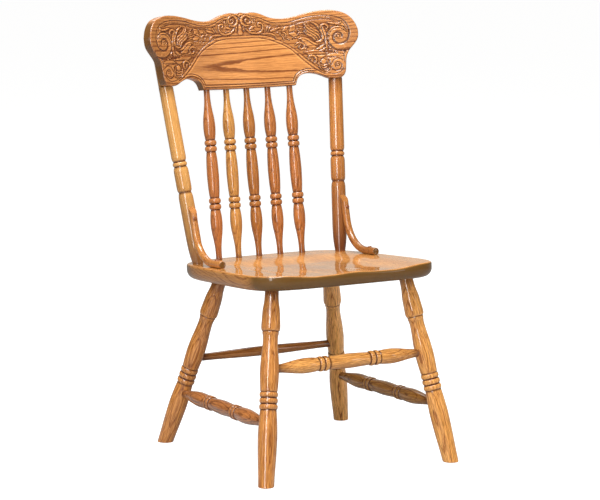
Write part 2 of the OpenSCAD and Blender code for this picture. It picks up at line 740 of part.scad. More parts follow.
module seat_brace() {
    r = brace_dia / 2;
    top = brace_bend_end + brace_rise * (brace_upper_length - r * tan(brace_slant));
    rings = concat(
        [for (a = [0:30:90]) brace_ring(brace_end_radius * (1 - cos(a)) - brace_front, brace_lift, 0,
            r - brace_end_radius * (1 - sin(a)))],
        [for (i = [0:brace_bend_steps]) let(a = brace_angle * i / brace_bend_steps)
            brace_ring(brace_bend_start + brace_bend * sin(a), brace_lift + brace_bend * (1 - cos(a)), a, r)],
        [brace_ring(top[1], top[2], brace_angle, r, brace_slant)]);
    color(oak_mid) difference() {
        on_seat() loft(rings, [brace_x, -brace_front, brace_lift], top);
        along(post_foot, post_top) turned([for (q = post_turning()) [q[0], q[1] + 2 * glue_gap]]);
        brace_top_screw_line() brace_screw_hole();
        brace_foot_screw_line() brace_screw_hole();
    }
}

// Turns a point of the seat's own frame into the chair's frame
function from_seat(p) = [p[0], p[1] * cos(seat_slope) + p[2] * sin(seat_slope),
    seat_height - p[1] * sin(seat_slope) + p[2] * cos(seat_slope)];

brace_counterbore = 5;
// Distances of the upper screw from the top of a brace and of the lower one from its front end
brace_top_screw = 31.5;
brace_foot_screw = 28;
brace_top_screw_at = brace_bend_end + brace_rise * (brace_upper_length - brace_top_screw);

// Line of the upper screw, square to the post, from the bottom of its counterbore
module brace_top_screw_line() {
    p = from_seat(brace_top_screw_at);
    up = (post_top - post_foot) / post_length;
    q = post_foot + up * ((p - post_foot) * up);
    start = q + (p - q) / norm(p - q) * (norm(p - q) + brace_dia / 2 - brace_counterbore);
    along(start, q) children();
}

// Line of the lower screw, square to the seat
module brace_foot_screw_line() {
    p = [brace_x, brace_foot_screw - brace_front, brace_dia - brace_flat - brace_counterbore];
    along(from_seat(p), from_seat(p - [0, 0, 1])) children();
}

module brace_screw_hole() {
    screw_shape(glue_gap, far / 20, plug_dia);
}

module brace_foot_screw_hole() {
    brace_foot_screw_line() cylinder(d = screw_dia + glue_gap, h = screw_length + end_gap);
}

module brace_screws() {
    color(steel) for (right = [false, true]) mirror_if(right) {
        brace_top_screw_line() screw_shape();
        brace_foot_screw_line() screw_shape();
    }
}

// Button plug that closes a counterbore, with a low dome
module button_plug() {
    dome = 2;
    rotate([180, 0, 0]) turned(concat([[0.3, plug_dia], [brace_counterbore + 0.4, plug_dia]],
        [for (a = [15:15:90]) [brace_counterbore + 0.4 + dome * sin(a), plug_dia * cos(a)]]));
}

module brace_plugs() {
    color(oak_dark) for (right = [false, true]) mirror_if(right) {
        brace_top_screw_line() button_plug();
        brace_foot_screw_line() button_plug();
    }
}

seat_board(1);  // seat_board_1
seat_board(2);  // seat_board_2
seat_board(3);  // seat_board_3
seat_board(4);  // seat_board_4
seat_board(5);  // seat_board_5
front_leg();  // front_leg_left
mirror([1, 0, 0]) front_leg();  // front_leg_right
rear_leg();  // rear_leg_left
mirror([1, 0, 0]) rear_leg();  // rear_leg_right
front_stretcher();
rear_stretcher();
side_stretcher();  // side_stretcher_left
mirror([1, 0, 0]) side_stretcher();  // side_stretcher_right
back_post();  // back_post_left
mirror([1, 0, 0]) back_post();  // back_post_right
spindle(-2);  // spindle_1
spindle(-1);  // spindle_2
spindle(0);  // spindle_3
spindle(1);  // spindle_4
spindle(2);  // spindle_5
crest_rail();
seat_brace();  // seat_brace_left
mirror([1, 0, 0]) seat_brace();  // seat_brace_right
crest_screws();
brace_screws();
brace_plugs();
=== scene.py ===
import math

import bmesh
import bpy
import numpy as np
from mathutils import Matrix, Vector


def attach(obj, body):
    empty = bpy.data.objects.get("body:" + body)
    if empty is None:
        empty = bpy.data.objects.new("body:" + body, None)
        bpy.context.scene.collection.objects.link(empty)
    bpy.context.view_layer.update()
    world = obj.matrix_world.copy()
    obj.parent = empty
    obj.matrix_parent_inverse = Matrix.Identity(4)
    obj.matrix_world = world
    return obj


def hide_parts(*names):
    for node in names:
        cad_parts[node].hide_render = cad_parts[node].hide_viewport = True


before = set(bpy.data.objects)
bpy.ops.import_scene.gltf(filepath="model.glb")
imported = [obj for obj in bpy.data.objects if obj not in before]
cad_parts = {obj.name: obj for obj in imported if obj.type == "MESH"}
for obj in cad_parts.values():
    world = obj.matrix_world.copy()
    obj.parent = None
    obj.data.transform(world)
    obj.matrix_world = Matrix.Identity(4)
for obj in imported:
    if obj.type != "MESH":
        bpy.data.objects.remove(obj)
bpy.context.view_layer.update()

# The meshes are drawn in millimetres and turned into metres as they are finished.
MM = 0.001

# Driving sizes, as in the solids

SEAT_HEIGHT, SEAT_SLOPE = 441, math.radians(4)
SEAT_HALF, SEAT_TAPER, SEAT_FRONT, SEAT_BACK = 230, 46, 264, 219
SEAT_THICK, SEAT_EDGE, SEAT_UNDERCUT = 34, 5, 15
SADDLE_DEPTH, SADDLE_SIDE, SADDLE_SIDE_RUN, SADDLE_REAR, SADDLE_REAR_RUN = 9, 186, 90, 128, 110
FRONT_LIFT, FRONT_LIFT_START, FRONT_LIFT_RUN = 0.25, 150, 110
POMMEL_HEIGHT, POMMEL_WIDTH, POMMEL_START, POMMEL_RUN = 3, 42, 20, 150
FRONT_SQUARENESS, REAR_SQUARENESS = 5.6, 4.8
SEAT_BOARDS = 5

LEG_DIA, LEG_TOP_DIA, LEG_NECK_DIA, LEG_RING_DIA, LEG_FOOT_DIA = 43, 30.5, 33.5, 41, 35.5
LEG_MIDDLE, LEG_RING_PITCH, LEG_TENON_DIA = 153, 13.5, 25
FRONT_LEG_UPPER, REAR_LEG_UPPER = 94, 97

STRETCHER_DIA, STRETCHER_END_DIA, STRETCHER_BEAD_REACH, STRETCHER_BEAD_HALF = 34.5, 19, 66, 6.4
REAR_STRETCHER_DIA, REAR_STRETCHER_END_DIA = 23, 17
FRONT_STRETCHER_HEIGHT, REAR_STRETCHER_HEIGHT = 248, 205
SIDE_STRETCHER_FRONT, SIDE_STRETCHER_REAR = 133, 120.5

POST_DIA, POST_FOOT_DIA, POST_GROOVE_HEIGHT, POST_BARREL, POST_GROOVE_CUT = 34.5, 24, 168, 60, 6
POST_SET_BACK, POST_TONGUE, POST_TENON_DIA, POST_GAP = 4.6, 63, 19, 0.15

SPINDLE_DIA, SPINDLE_END_DIA, SPINDLE_WAIST_DIA = 28.5, 14.3, 23
SPINDLE_BEAD_REACH, SPINDLE_BEAD_HALF, SPINDLE_TENON_DIA = 68, 7, 12.7
SPINDLE_FOOT_PITCH, SPINDLE_TOP_PITCH, SPINDLE_REACH, SPINDLE_BOW = 55.8, 55.4, 189, 9

CREST_HEIGHT, CREST_REACH, CREST_RAKE = 837, 245.5, math.radians(12)
CREST_RADIUS, CREST_THICK, EAR_BOTTOM, TAB_BOTTOM = 585, 20, -7, -15.3

BRACE_X, BRACE_DIA, BRACE_BEND, BRACE_FRONT, BRACE_FOOT = -202.5, 17.5, 85, 11, 47
BRACE_ANGLE, BRACE_UPPER, BRACE_FLAT = math.radians(79.5), 60, 0.5
BRACE_SLANT, BRACE_END_ROUND = math.radians(50), 2.5

# Curves


def mix(a, b, t):
    return a + (b - a) * t


def ease(t):
    u = np.clip(t, 0, 1)
    return u * u * (3 - 2 * u)


def swell(knots, steps=8):
    """Smooth stretch of a turning through knots of (distance, diameter)."""
    out = []
    slopes = []
    for i in range(len(knots)):
        a, b = knots[max(i - 1, 0)], knots[min(i + 1, len(knots) - 1)]
        slopes.append((b[1] - a[1]) / (b[0] - a[0]))
    for (a, b, slope_a, slope_b) in zip(knots, knots[1:], slopes, slopes[1:]):
        run = b[0] - a[0]
        for j in range(steps):
            t = j / steps
            dia = ((2 * t**3 - 3 * t**2 + 1) * a[1] + (t**3 - 2 * t**2 + t) * run * slope_a
                   + (3 * t**2 - 2 * t**3) * b[1] + (t**3 - t**2) * run * slope_b)
            out.append((a[0] + run * t, dia))
    return out + [knots[-1]]


def part(start, length, thin, full, *shares):
    """Knots at shares of a length, each thickened by its own share from thin to full."""
    return [(start + length * along_it, mix(thin, full, thickened)) for along_it, thickened in shares]


def bead(middle, width, dia, groove_dia, steps=12):
    """Round bead of a turning, from groove to groove."""
    angles = [math.pi * j / steps for j in range(steps + 1)]
    return [(middle - width / 2 * math.cos(a), mix(groove_dia, dia, math.sin(a))) for a in angles]


def both_ways(half_profile):
    """Profile mirrored about its start, which is taken once where it lies on the middle."""
    first = 1 if half_profile[0][0] == 0 else 0
    return [(-s, d) for s, d in reversed(half_profile)] + half_profile[first:]


def through(points, steps):
    """Smooth open curve through flat points, as an array."""
    p = [np.array(q, float) for q in points]
    out = []
    for i in range(len(p) - 1):
        a, b, c, d = p[max(i - 1, 0)], p[i], p[i + 1], p[min(i + 2, len(p) - 1)]
        for j in range(steps):
            t = j / steps
            out.append(b + (c - a) * t / 2 + (2 * a - 5 * b + 4 * c - d) * t**2 / 2
                       + (3 * b - a - 3 * c + d) * t**3 / 2)
    return np.array(out + [p[-1]])


# Places on the seat, the legs and the crest rail


def on_seat(x, y, z):
    """Point of the seat's own sloping frame in the chair's frame."""
    c, s = math.cos(SEAT_SLOPE), math.sin(SEAT_SLOPE)
    return Vector((x, y * c + z * s, SEAT_HEIGHT - y * s + z * c))


def seat_point(x, y, drop=0):
    """Point of the blank's top, or a drop below it, straight under or over x and y."""
    return Vector((x, y, SEAT_HEIGHT - y * math.tan(SEAT_SLOPE) - drop / math.cos(SEAT_SLOPE)))


def crest_point(x, depth, z):
    """Point at x, at a depth behind the front face and at height z on the crest rail."""
    y = math.sqrt((CREST_RADIUS + depth)**2 - x * x) - CREST_RADIUS
    c, s = math.cos(CREST_RAKE), math.sin(CREST_RAKE)
    return Vector((x, CREST_REACH + y * c + z * s, CREST_HEIGHT - y * s + z * c))


def on_leg(top, foot, z):
    return foot.lerp(top, z / top.z)


def other_side(p):
    return Vector((-p.x, p.y, p.z))


FRONT_FOOT, REAR_FOOT = Vector((-240, -282, 0)), Vector((-240, 214, 0))
FRONT_TOP = seat_point(-173, -188, SEAT_THICK)
REAR_TOP = seat_point(-146, 107, SEAT_THICK)
POST_FOOT = seat_point(-190.5, 135)
POST_TOP = crest_point(-226.5, POST_SET_BACK + POST_DIA / 2, EAR_BOTTOM)

# Colours of the finish


def tone(red, green, blue):
    """Colour as seen on a screen, from 0 to 255, as a shader value."""
    values = [v / 255 for v in (red, green, blue)]
    return tuple(v / 12.92 if v < 0.04045 else ((v + 0.055) / 1.055)**2.4 for v in values) + (1,)


# Dark glaze that is partly painted shade, wood rubbed light that is partly a painted highlight, and the
# pores
GLAZE_AND_SHADE, RUBBED_AND_HIGHLIGHT, PORE = tone(84, 38, 12), tone(250, 184, 110), tone(108, 56, 20)
END_GRAIN, SEAT_END_GRAIN = tone(86, 64, 22), tone(101, 86, 34)
PLUG = tone(142, 82, 44)
ZINC = (0.6, 0.6, 0.58, 1)

# Each wood is its light tone and its dark one
# The pale tone below is given to the right legs: it is partly painted light, standing for light that falls
# on them
PALE_LIT = tone(255, 188, 104), tone(190, 116, 48)
STRAW = tone(244, 177, 97), tone(184, 113, 45)
GOLD = tone(217, 163, 92), tone(161, 101, 41)
WHEAT = tone(206, 150, 80), tone(150, 96, 38)
TAN = tone(204, 138, 70), tone(142, 82, 32)
UMBER = tone(176, 116, 56), tone(118, 68, 26)
OLIVE = tone(186, 130, 62), tone(112, 74, 28)
HONEY = tone(224, 154, 80), tone(156, 90, 34)
AMBER = tone(196, 124, 64), tone(118, 66, 28)
RUSSET = tone(180, 112, 58), tone(118, 62, 28)
CHESTNUT = tone(168, 108, 50), tone(108, 58, 24)
CREST_WOOD = tone(212, 144, 79), tone(122, 66, 28)
SEAT_WOOD = tone(230, 162, 84), tone(160, 98, 38)

# Shader nodes


def add(tree, kind, inputs=(), **settings):
    """A node whose inputs, by name or number, are values or other nodes' outputs."""
    made = tree.nodes.new(kind)
    for key, value in settings.items():
        setattr(made, key, value)
    for key, value in dict(inputs).items():
        if isinstance(value, bpy.types.NodeSocket):
            tree.links.new(value, made.inputs[key])
        else:
            made.inputs[key].default_value = value
    return made


def maths(tree, operation, a, b=0.0, c=0.0):
    return add(tree, "ShaderNodeMath", {0: a, 1: b, 2: c}, operation=operation).outputs[0]


def vector_maths(tree, operation, a, b=(0, 0, 0), output="Vector"):
    return add(tree, "ShaderNodeVectorMath", {0: a, 1: b}, operation=operation).outputs[output]


def band(tree, value, limits):
    """0 below the first limit and 1 above the second, smooth between."""
    return add(tree, "ShaderNodeMapRange", {"Value": value, "From Min": limits[0], "From Max": limits[1]},
               interpolation_type="SMOOTHSTEP").outputs[0]


def without(tree, mask):
    return maths(tree, "SUBTRACT", 1.0, mask)


def blend_colours(tree, share, a, b):
    return add(tree, "ShaderNodeMix", {0: share, 6: a, 7: b}, data_type="RGBA").outputs[2]


def object_place(tree):
    return add(tree, "ShaderNodeTexCoord").outputs["Object"]


def coordinate(tree, place, axis):
    """One of the three numbers of a place: 0, 1 or 2 for x, y or z."""
    return add(tree, "ShaderNodeSeparateXYZ", {0: place}).outputs[axis]


def noise(tree, place, kind, seed):
    """Noise drawn out along Z. Its kind is (waves in a metre along Z, how much finer across, detail)."""
    scale, across, detail = kind
    spread = vector_maths(tree, "MULTIPLY", place, (across, across, 1))
    inputs = {"Vector": spread, "Scale": scale, "Detail": detail, "W": seed}
    return add(tree, "ShaderNodeTexNoise", inputs, noise_dimensions="4D").outputs[0]


# Figure of the oak: the noises, the values between which they and the early wood set in, their strengths
SLOW_WAVE, QUICK_WAVE, DRIFT = (3.0, 4.0, 2.0), (22.0, 5.0, 2.0), (1.7, 9.0, 1.0)
FINE_PORES, COARSE_PORES = (42.0, 16.0, 1.0), (13.0, 58.0, 3.0)
FINE_SET_IN, COARSE_SET_IN, DRIFT_SET_IN = (0.5, 0.56), (0.48, 0.56), (0.35, 0.68)
EARLY_SET_IN, EARLY_FADE = (0.0, 0.06), (0.09, 0.32)
QUICK_WANDER, ALONG_PITH = 0.002, 0.03
COARSE_PORE_SHARE, EARLY_PORE_SHARE = 0.5, 0.65
STREAK_SHARE, DRIFT_SHARE = 0.6, 0.32
PORE_BY_STREAKS, PORE_AT_LEAST = 0.7, 0.24
END_BY_RING, END_BY_PORES, END_COVER = 0.35, 0.3, 0.94
WOOD_ROUGHNESS, PORE_ROUGHNESS = 0.45, 0.15

OAK_INPUTS = [
    ("Place", "NodeSocketVector", (0, 0, 0)), ("Seed", "NodeSocketFloat", 0.0),
    ("Ring Spacing", "NodeSocketFloat", 0.0034), ("Pith", "NodeSocketVector", (0.05, 0.03, 0)),
    ("Taper", "NodeSocketFloat", 0.007), ("Wander", "NodeSocketFloat", 0.005),
    ("Light", "NodeSocketColor", HONEY[0]), ("Dark", "NodeSocketColor", HONEY[1]),
    ("Figure", "NodeSocketFloat", 0.5), ("Streaks", "NodeSocketFloat", 0.8),
    ("End", "NodeSocketFloat", 0.0), ("End Color", "NodeSocketColor", END_GRAIN),
    ("Glaze And Painted Light", "NodeSocketFloat", 0.0),
]
OAK_OUTPUTS = [("Color", "NodeSocketColor"), ("Roughness", "NodeSocketFloat"),
               ("Height", "NodeSocketFloat")]


def oak_group():
    """Figure of lacquered oak with its grain along Z: growth rings, pores, streaks, end grain, and glaze
    with painted shade and painted highlight.
    """
    tree = bpy.data.node_groups.new("oak_figure", "ShaderNodeTree")
    for name, kind, value in OAK_INPUTS:
        tree.interface.new_socket(name, in_out="INPUT", socket_type=kind).default_value = value
    for name, kind in OAK_OUTPUTS:
        tree.interface.new_socket(name, in_out="OUTPUT", socket_type=kind)
    given = tree.nodes.new("NodeGroupInput").outputs
    place, seed = given["Place"], given["Seed"]

    # Distance from the pith, pushed about by slow waves and tapered along the grain, gives the rings
    wave = noise(tree, place, SLOW_WAVE, seed)
    ripple = noise(tree, place, QUICK_WAVE, seed)
    from_pith = vector_maths(tree, "SUBTRACT", place, given["Pith"])
    flat = vector_maths(tree, "MULTIPLY", from_pith, (1, 1, ALONG_PITH))
    radius = vector_maths(tree, "LENGTH", flat, output="Value")
    length = coordinate(tree, from_pith, 2)
    tapered = maths(tree, "SUBTRACT", radius, maths(tree, "MULTIPLY", length, given["Taper"]))
    wandered = maths(tree, "MULTIPLY_ADD", wave, given["Wander"], tapered)
    pushed = maths(tree, "MULTIPLY_ADD", ripple, QUICK_WANDER, wandered)
    ring = maths(tree, "FRACT", maths(tree, "DIVIDE", pushed, given["Ring Spacing"]))
    faded = without(tree, band(tree, ring, EARLY_FADE))
    early = maths(tree, "MULTIPLY", band(tree, ring, EARLY_SET_IN), faded)

    # Dark pores in rows along the grain are thickest in the early wood
    fine = band(tree, noise(tree, place, FINE_PORES, seed), FINE_SET_IN)
    coarse = band(tree, noise(tree, place, COARSE_PORES, seed), COARSE_SET_IN)
    rows = maths(tree, "MULTIPLY_ADD", early, EARLY_PORE_SHARE, 1 - EARLY_PORE_SHARE)
    either = maths(tree, "MAXIMUM", fine, maths(tree, "MULTIPLY", coarse, COARSE_PORE_SHARE))
    pores = maths(tree, "MULTIPLY", either, rows)

    # Early wood, streaks and a slow drift of the tone darken the wood
    share = maths(tree, "MULTIPLY", early, given["Figure"])
    streaks = maths(tree, "MULTIPLY", given["Streaks"], STREAK_SHARE)
    share = maths(tree, "MULTIPLY_ADD", coarse, streaks, share)
    drift = band(tree, noise(tree, place, DRIFT, seed), DRIFT_SET_IN)
    share = maths(tree, "MULTIPLY_ADD", drift, DRIFT_SHARE, share)
    share = add(tree, "ShaderNodeClamp", {0: share}).outputs[0]
    wood = blend_colours(tree, share, given["Light"], given["Dark"])
    marks = maths(tree, "MULTIPLY_ADD", given["Streaks"], PORE_BY_STREAKS, PORE_AT_LEAST)
    wood = blend_colours(tree, maths(tree, "MULTIPLY", pores, marks), wood, PORE)

    # End grain shows the rings and the pores as dots
    dots = maths(tree, "MULTIPLY_ADD", ring, END_BY_RING, maths(tree, "MULTIPLY", coarse, END_BY_PORES))
    end = blend_colours(tree, dots, given["End Color"], PORE)
    wood = blend_colours(tree, maths(tree, "MULTIPLY", given["End"], END_COVER), wood, end)

    # Dark glaze in the hollows, partly painted shade, darkens the wood, and negative glaze is wood rubbed
    # light on the ridges, partly a painted highlight
    wood = blend_colours(tree, maths(tree, "MAXIMUM", given["Glaze And Painted Light"], 0.0), wood, GLAZE_AND_SHADE)
    rubbed_and_highlight = maths(tree, "MAXIMUM", maths(tree, "MULTIPLY", given["Glaze And Painted Light"], -1.0), 0.0)
    wood = blend_colours(tree, rubbed_and_highlight, wood, RUBBED_AND_HIGHLIGHT)
    result = tree.nodes.new("NodeGroupOutput").inputs
    tree.links.new(wood, result["Color"])
    tree.links.new(maths(tree, "MULTIPLY_ADD", pores, PORE_ROUGHNESS, WOOD_ROUGHNESS), result["Roughness"])
    tree.links.new(maths(tree, "MULTIPLY", pores, -1.0), result["Height"])
    return tree


OAK = oak_group()

# Lacquered oak: the relief of its pores, the gloss of the wood below the lacquer, and the lacquer
PORE_RELIEF = {"Strength": 0.12, "Distance": 0.0002}
WOOD_GLOSS, LACQUER_IOR, LACQUER_ROUGHNESS = 0.2, 1.5, 0.06


def feed(tree, socket, value):
    """Gives a socket a value, or what a function makes in its tree."""
    if callable(value):
        tree.links.new(value(tree), socket)
    else:
        socket.default_value = value


def lacquered(name, place, wood, figure, shine=1.0, coat_roughness=LACQUER_ROUGHNESS):
    """Material of lacquered oak.

    place makes the coordinates, in metres and with the grain along Z. figure holds inputs of the oak's
    group, and shine is the lacquer's weight. Each is a value or a function of the material's tree."""
    material = bpy.data.materials.new(name)
    material.use_nodes = True
    tree = material.node_tree
    shader = tree.nodes["Principled BSDF"]
    oak = add(tree, "ShaderNodeGroup", node_tree=OAK)
    inputs = {"Place": place, "Light": wood[0], "Dark": wood[1], **figure}
    for key, value in inputs.items():
        feed(tree, oak.inputs[key], value)
    relief = add(tree, "ShaderNodeBump", {**PORE_RELIEF, "Height": oak.outputs["Height"]})
    tree.links.new(oak.outputs["Color"], shader.inputs["Base Color"])
    tree.links.new(oak.outputs["Roughness"], shader.inputs["Roughness"])
    tree.links.new(relief.outputs[0], shader.inputs["Normal"])
    shader.inputs["Specular IOR Level"].default_value = WOOD_GLOSS
    feed(tree, shader.inputs["Coat Weight"], shine)
    shader.inputs["Coat Roughness"].default_value = coat_roughness
    shader.inputs["Coat IOR"].default_value = LACQUER_IOR
    return material


def along(a, b):
    """Matrix that puts +Z on the line from a to b, starting at a."""
    turn = Vector((0, 0, 1)).rotation_difference(b - a).to_matrix().to_4x4()
    return Matrix.Translation(a) @ turn


def laid_on(matrix):
    """Object coordinates in the frame of a matrix in millimetres, whose Z is the grain of a piece."""
    centre, turn, _ = matrix.decompose()

    def make(tree):
        inputs = {"Vector": object_place(tree), "Location": centre * MM, "Rotation": turn.to_euler()}
        return add(tree, "ShaderNodeMapping", inputs, vector_type="TEXTURE").outputs[0]
    return make


def attribute_of(name, output="Fac"):
    def make(tree):
        return add(tree, "ShaderNodeAttribute", attribute_name=name).outputs[output]
    return make


def turned_to(tree, axis):
    """How much a surface faces along an axis, from -1 to 1."""
    normal = add(tree, "ShaderNodeNewGeometry").outputs["Normal"]
    return vector_maths(tree, "DOT_PRODUCT", normal, axis, "Value")


def end_grain(axis, limits):
    """Mask of the surfaces that cut across a grain along an axis."""
    def make(tree):
        return band(tree, maths(tree, "ABSOLUTE", turned_to(tree, axis)), limits)
    return make


# Meshes


def finish_piece(bm, name, material, nodes, sharp=40):
    """Turns a bmesh in millimetres into a finished piece that stands for CAD nodes."""
    bmesh.ops.recalc_face_normals(bm, faces=bm.faces)
    bmesh.ops.transform(bm, matrix=Matrix.Scale(MM, 4), verts=bm.verts)
    for face in bm.faces:
        face.smooth = True
    for edge in bm.edges:
        edge.smooth = len(edge.link_faces) < 2 or edge.calc_face_angle() < math.radians(sharp)
    mesh = bpy.data.meshes.new(name)
    bm.to_mesh(mesh)
    bm.free()
    mesh.materials.append(material)
    piece = bpy.data.objects.new(name, mesh)
    bpy.context.scene.collection.objects.link(piece)
    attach(piece, "root")
    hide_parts(*nodes)


# Glaze and painted shade in the grooves of a turning: how far round a place its mean level is taken, how
# far below that level they start, their run and their most, and the same over that level for the rubbed
# share, partly a painted highlight
LEVEL_STEP, LEVEL_REACH = 0.5, 9
GLAZE_SHADE_FROM, GLAZE_SHADE_RUN, GLAZE_SHADE_MOST = 0.06, 0.9, 0.95
RUBBED_HIGHLIGHT_FROM, RUBBED_HIGHLIGHT_RUN, RUBBED_HIGHLIGHT_MOST = 0.4, 2, 0.08


def mean_round(values, reach, axis=0):
    """Mean of each value and its neighbours on both sides, along one axis."""
    widths = [(reach, reach) if i == axis else (0, 0) for i in range(values.ndim)]
    kernel = np.ones(2 * reach + 1) / (2 * reach + 1)
    return np.apply_along_axis(np.convolve, axis, np.pad(values, widths, mode="edge"), kernel, "valid")


def groove_glaze_and_shade(profile):
    """Share of dark glaze and painted shade in the grooves of a turning, less wood rubbed light and painted
    highlight on its beads, for each point of its profile.
    """
    spots, dias = np.array(profile).T
    even = np.arange(spots[0], spots[-1], LEVEL_STEP)
    level = np.interp(even, spots, dias)
    low = np.interp(spots, even, mean_round(level, LEVEL_REACH) - level)
    glaze_and_painted_light = np.clip((low - GLAZE_SHADE_FROM) / GLAZE_SHADE_RUN, 0, GLAZE_SHADE_MOST)
    return glaze_and_painted_light - np.clip((-low - RUBBED_HIGHLIGHT_FROM) / RUBBED_HIGHLIGHT_RUN, 0, RUBBED_HIGHLIGHT_MOST)


def turned(profile, start, end, joints, steps=72):
    """Closed turning along a line from a list of (distance, diameter), with glaze and painted shade in its
    grooves.

    joints is a list of (distance, share of glaze), for glaze and painted contact shade that gather where
    the piece meets others."""
    bm = bmesh.new()
    glaze_and_painted_light = bm.verts.layers.float.new("glaze_and_painted_light")
    shades = groove_glaze_and_shade(profile)
    glaze_and_shade_at_joints = np.interp([s for s, _ in profile], *zip(*joints))
    shades = np.where(glaze_and_shade_at_joints > 0, np.maximum(shades, glaze_and_shade_at_joints), shades)
    line = []
    for (s, d), share in zip([(profile[0][0], 0), *profile, (profile[-1][0], 0)], [0, *shades, 0]):
        vert = bm.verts.new((d / 2, 0, s))
        vert[glaze_and_painted_light] = share
        line.append(vert)
    edges = [bm.edges.new(pair) for pair in zip(line, line[1:])]
    bmesh.ops.spin(bm, geom=line + edges, cent=(0, 0, 0), axis=(0, 0, 1), dvec=(0, 0, 0),
                   angle=2 * math.pi, steps=steps, use_merge=True)
    bmesh.ops.remove_doubles(bm, verts=bm.verts, dist=0.0005)
    bmesh.ops.transform(bm, matrix=along(start, end), verts=bm.verts)
    return bm


def cut(bm, point, outward):
    """Cuts away what lies beyond a plane and closes the cut."""
    geom = bm.verts[:] + bm.edges[:] + bm.faces[:]
    made = bmesh.ops.bisect_plane(bm, geom=geom, plane_co=point, plane_no=outward, clear_outer=True,
                                  dist=1e-5)
    rim = [e for e in made["geom_cut"] if isinstance(e, bmesh.types.BMEdge)]
    bmesh.ops.holes_fill(bm, edges=rim, sides=0)
    return rim


def soften(bm, edges, offset):
    live = [e for e in edges if e.is_valid]
    bmesh.ops.bevel(bm, geom=live, offset=offset, segments=3, profile=0.5, affect="EDGES", material=-1)


def lofted(rings):
    """Closed skin through rings of points of the seat's frame, grown ring by ring from a first circle."""
    bm = bmesh.new()
    order = bm.verts.layers.int.new("order")
    first = bmesh.ops.create_circle(bm, cap_ends=True, segments=len(rings[0]), radius=1)["verts"]
    for i, vert in enumerate(first):
        vert[order] = i
        vert.co = on_seat(*rings[0][i])
    edges = bm.edges[:]
    for ring in rings[1:]:
        grown = bmesh.ops.extrude_edge_only(bm, edges=edges)["geom"]
        edges = [g for g in grown if isinstance(g, bmesh.types.BMEdge)]
        for vert in (g for g in grown if isinstance(g, bmesh.types.BMVert)):
            vert.co = on_seat(*ring[vert[order]])
    bmesh.ops.holes_fill(bm, edges=edges, sides=0)
    return bm


# Legs

# Limits between which a surface counts as cut across the grain, on the legs and the posts
CUT_ENDS = (0.9, 0.98)
# Painted shadow of the seat, with glaze at the joint, darkest at the top of a leg and gone 60 mm below it
SHADOW_AND_GLAZE_UNDER_SEAT = [(0, 0.8), (9, 0.55), (30, 0.12), (60, 0)]


def leg_profile(cut_at, length):
    """Leg from its tenon to below the floor: upper swelling, cut, middle, three rings and lower part."""
    top, neck, full, foot = LEG_TOP_DIA, LEG_NECK_DIA, LEG_DIA, LEG_FOOT_DIA
    waist = mix(neck, LEG_RING_DIA, 0.55)
    rings, p = cut_at + LEG_MIDDLE, LEG_RING_PITCH
    low_start, low = rings + 1.5 * p + 1.5, length - rings - 1.5 * p
    upper = ([(-4, top), (0, top)] + part(0, cut_at, top, full, (0.3, 0.2), (0.5, 0.65), (0.75, 0.88))
             + [(cut_at * 0.92, full - 0.4), (cut_at - 2, mix(neck, full, 0.75))])
    middle = ([(cut_at + 2.5, mix(neck, full, 0.42)), (cut_at + LEG_MIDDLE * 0.07, neck + 0.8)]
              + part(cut_at, LEG_MIDDLE, neck, full, (0.13, 0), (0.24, 0.2), (0.4, 0.68))
              + [(cut_at + LEG_MIDDLE * 0.58, full - 0.4), (cut_at + LEG_MIDDLE * 0.72, full - 1.6),
                 (rings - 1.5 * p - 1.5, mix(waist, full, 0.2))])
    lower = ([(low_start, waist - 0.4)] + part(low_start, low, waist, full, (0.12, 0.5), (0.3, 1))
             + [(low_start + low * 0.42, full - 0.3)]
             + part(low_start, low, foot, full, (0.6, 0.72), (0.85, 0.22))
             + [(low_start + low * 1.15, foot - 1.6)])
    beads = [bead(rings + k * p, p - 2, LEG_RING_DIA + extra, waist - 1.5)
             for k, extra in ((-1, 0), (0, 0), (1, 0.4))]
    return ([(-20, LEG_TENON_DIA), (-4, LEG_TENON_DIA)] + swell(upper) + [(cut_at, mix(neck, full, 0.25))]
            + swell(middle) + sum(beads, []) + swell(lower))


def make_leg(name, top, foot, cut_at, wood, seed):
    bm = turned(leg_profile(cut_at, (foot - top).length), top, foot, SHADOW_AND_GLAZE_UNDER_SEAT)
    rim = cut(bm, (0, 0, 0), (0, 0, -1))
    soften(bm, rim, 1.2)
    material = lacquered(name + "_oak", laid_on(along(top, foot)), wood, {
        "Seed": seed, "Pith": (0.045 + 0.01 * math.sin(seed), 0.03, 0.2),
        "End": end_grain((foot - top).normalized(), CUT_ENDS), "Glaze And Painted Light": attribute_of("glaze_and_painted_light")})
    finish_piece(bm, name + "_turning", material, [name])


make_leg("front_leg_left", FRONT_TOP, FRONT_FOOT, FRONT_LEG_UPPER, HONEY, 1.3)
make_leg("front_leg_right", other_side(FRONT_TOP), other_side(FRONT_FOOT), FRONT_LEG_UPPER, PALE_LIT, 4.1)
make_leg("rear_leg_left", REAR_TOP, REAR_FOOT, REAR_LEG_UPPER, HONEY, 7.7)
make_leg("rear_leg_right", other_side(REAR_TOP), other_side(REAR_FOOT), REAR_LEG_UPPER, PALE_LIT, 9.2)

# Stretchers


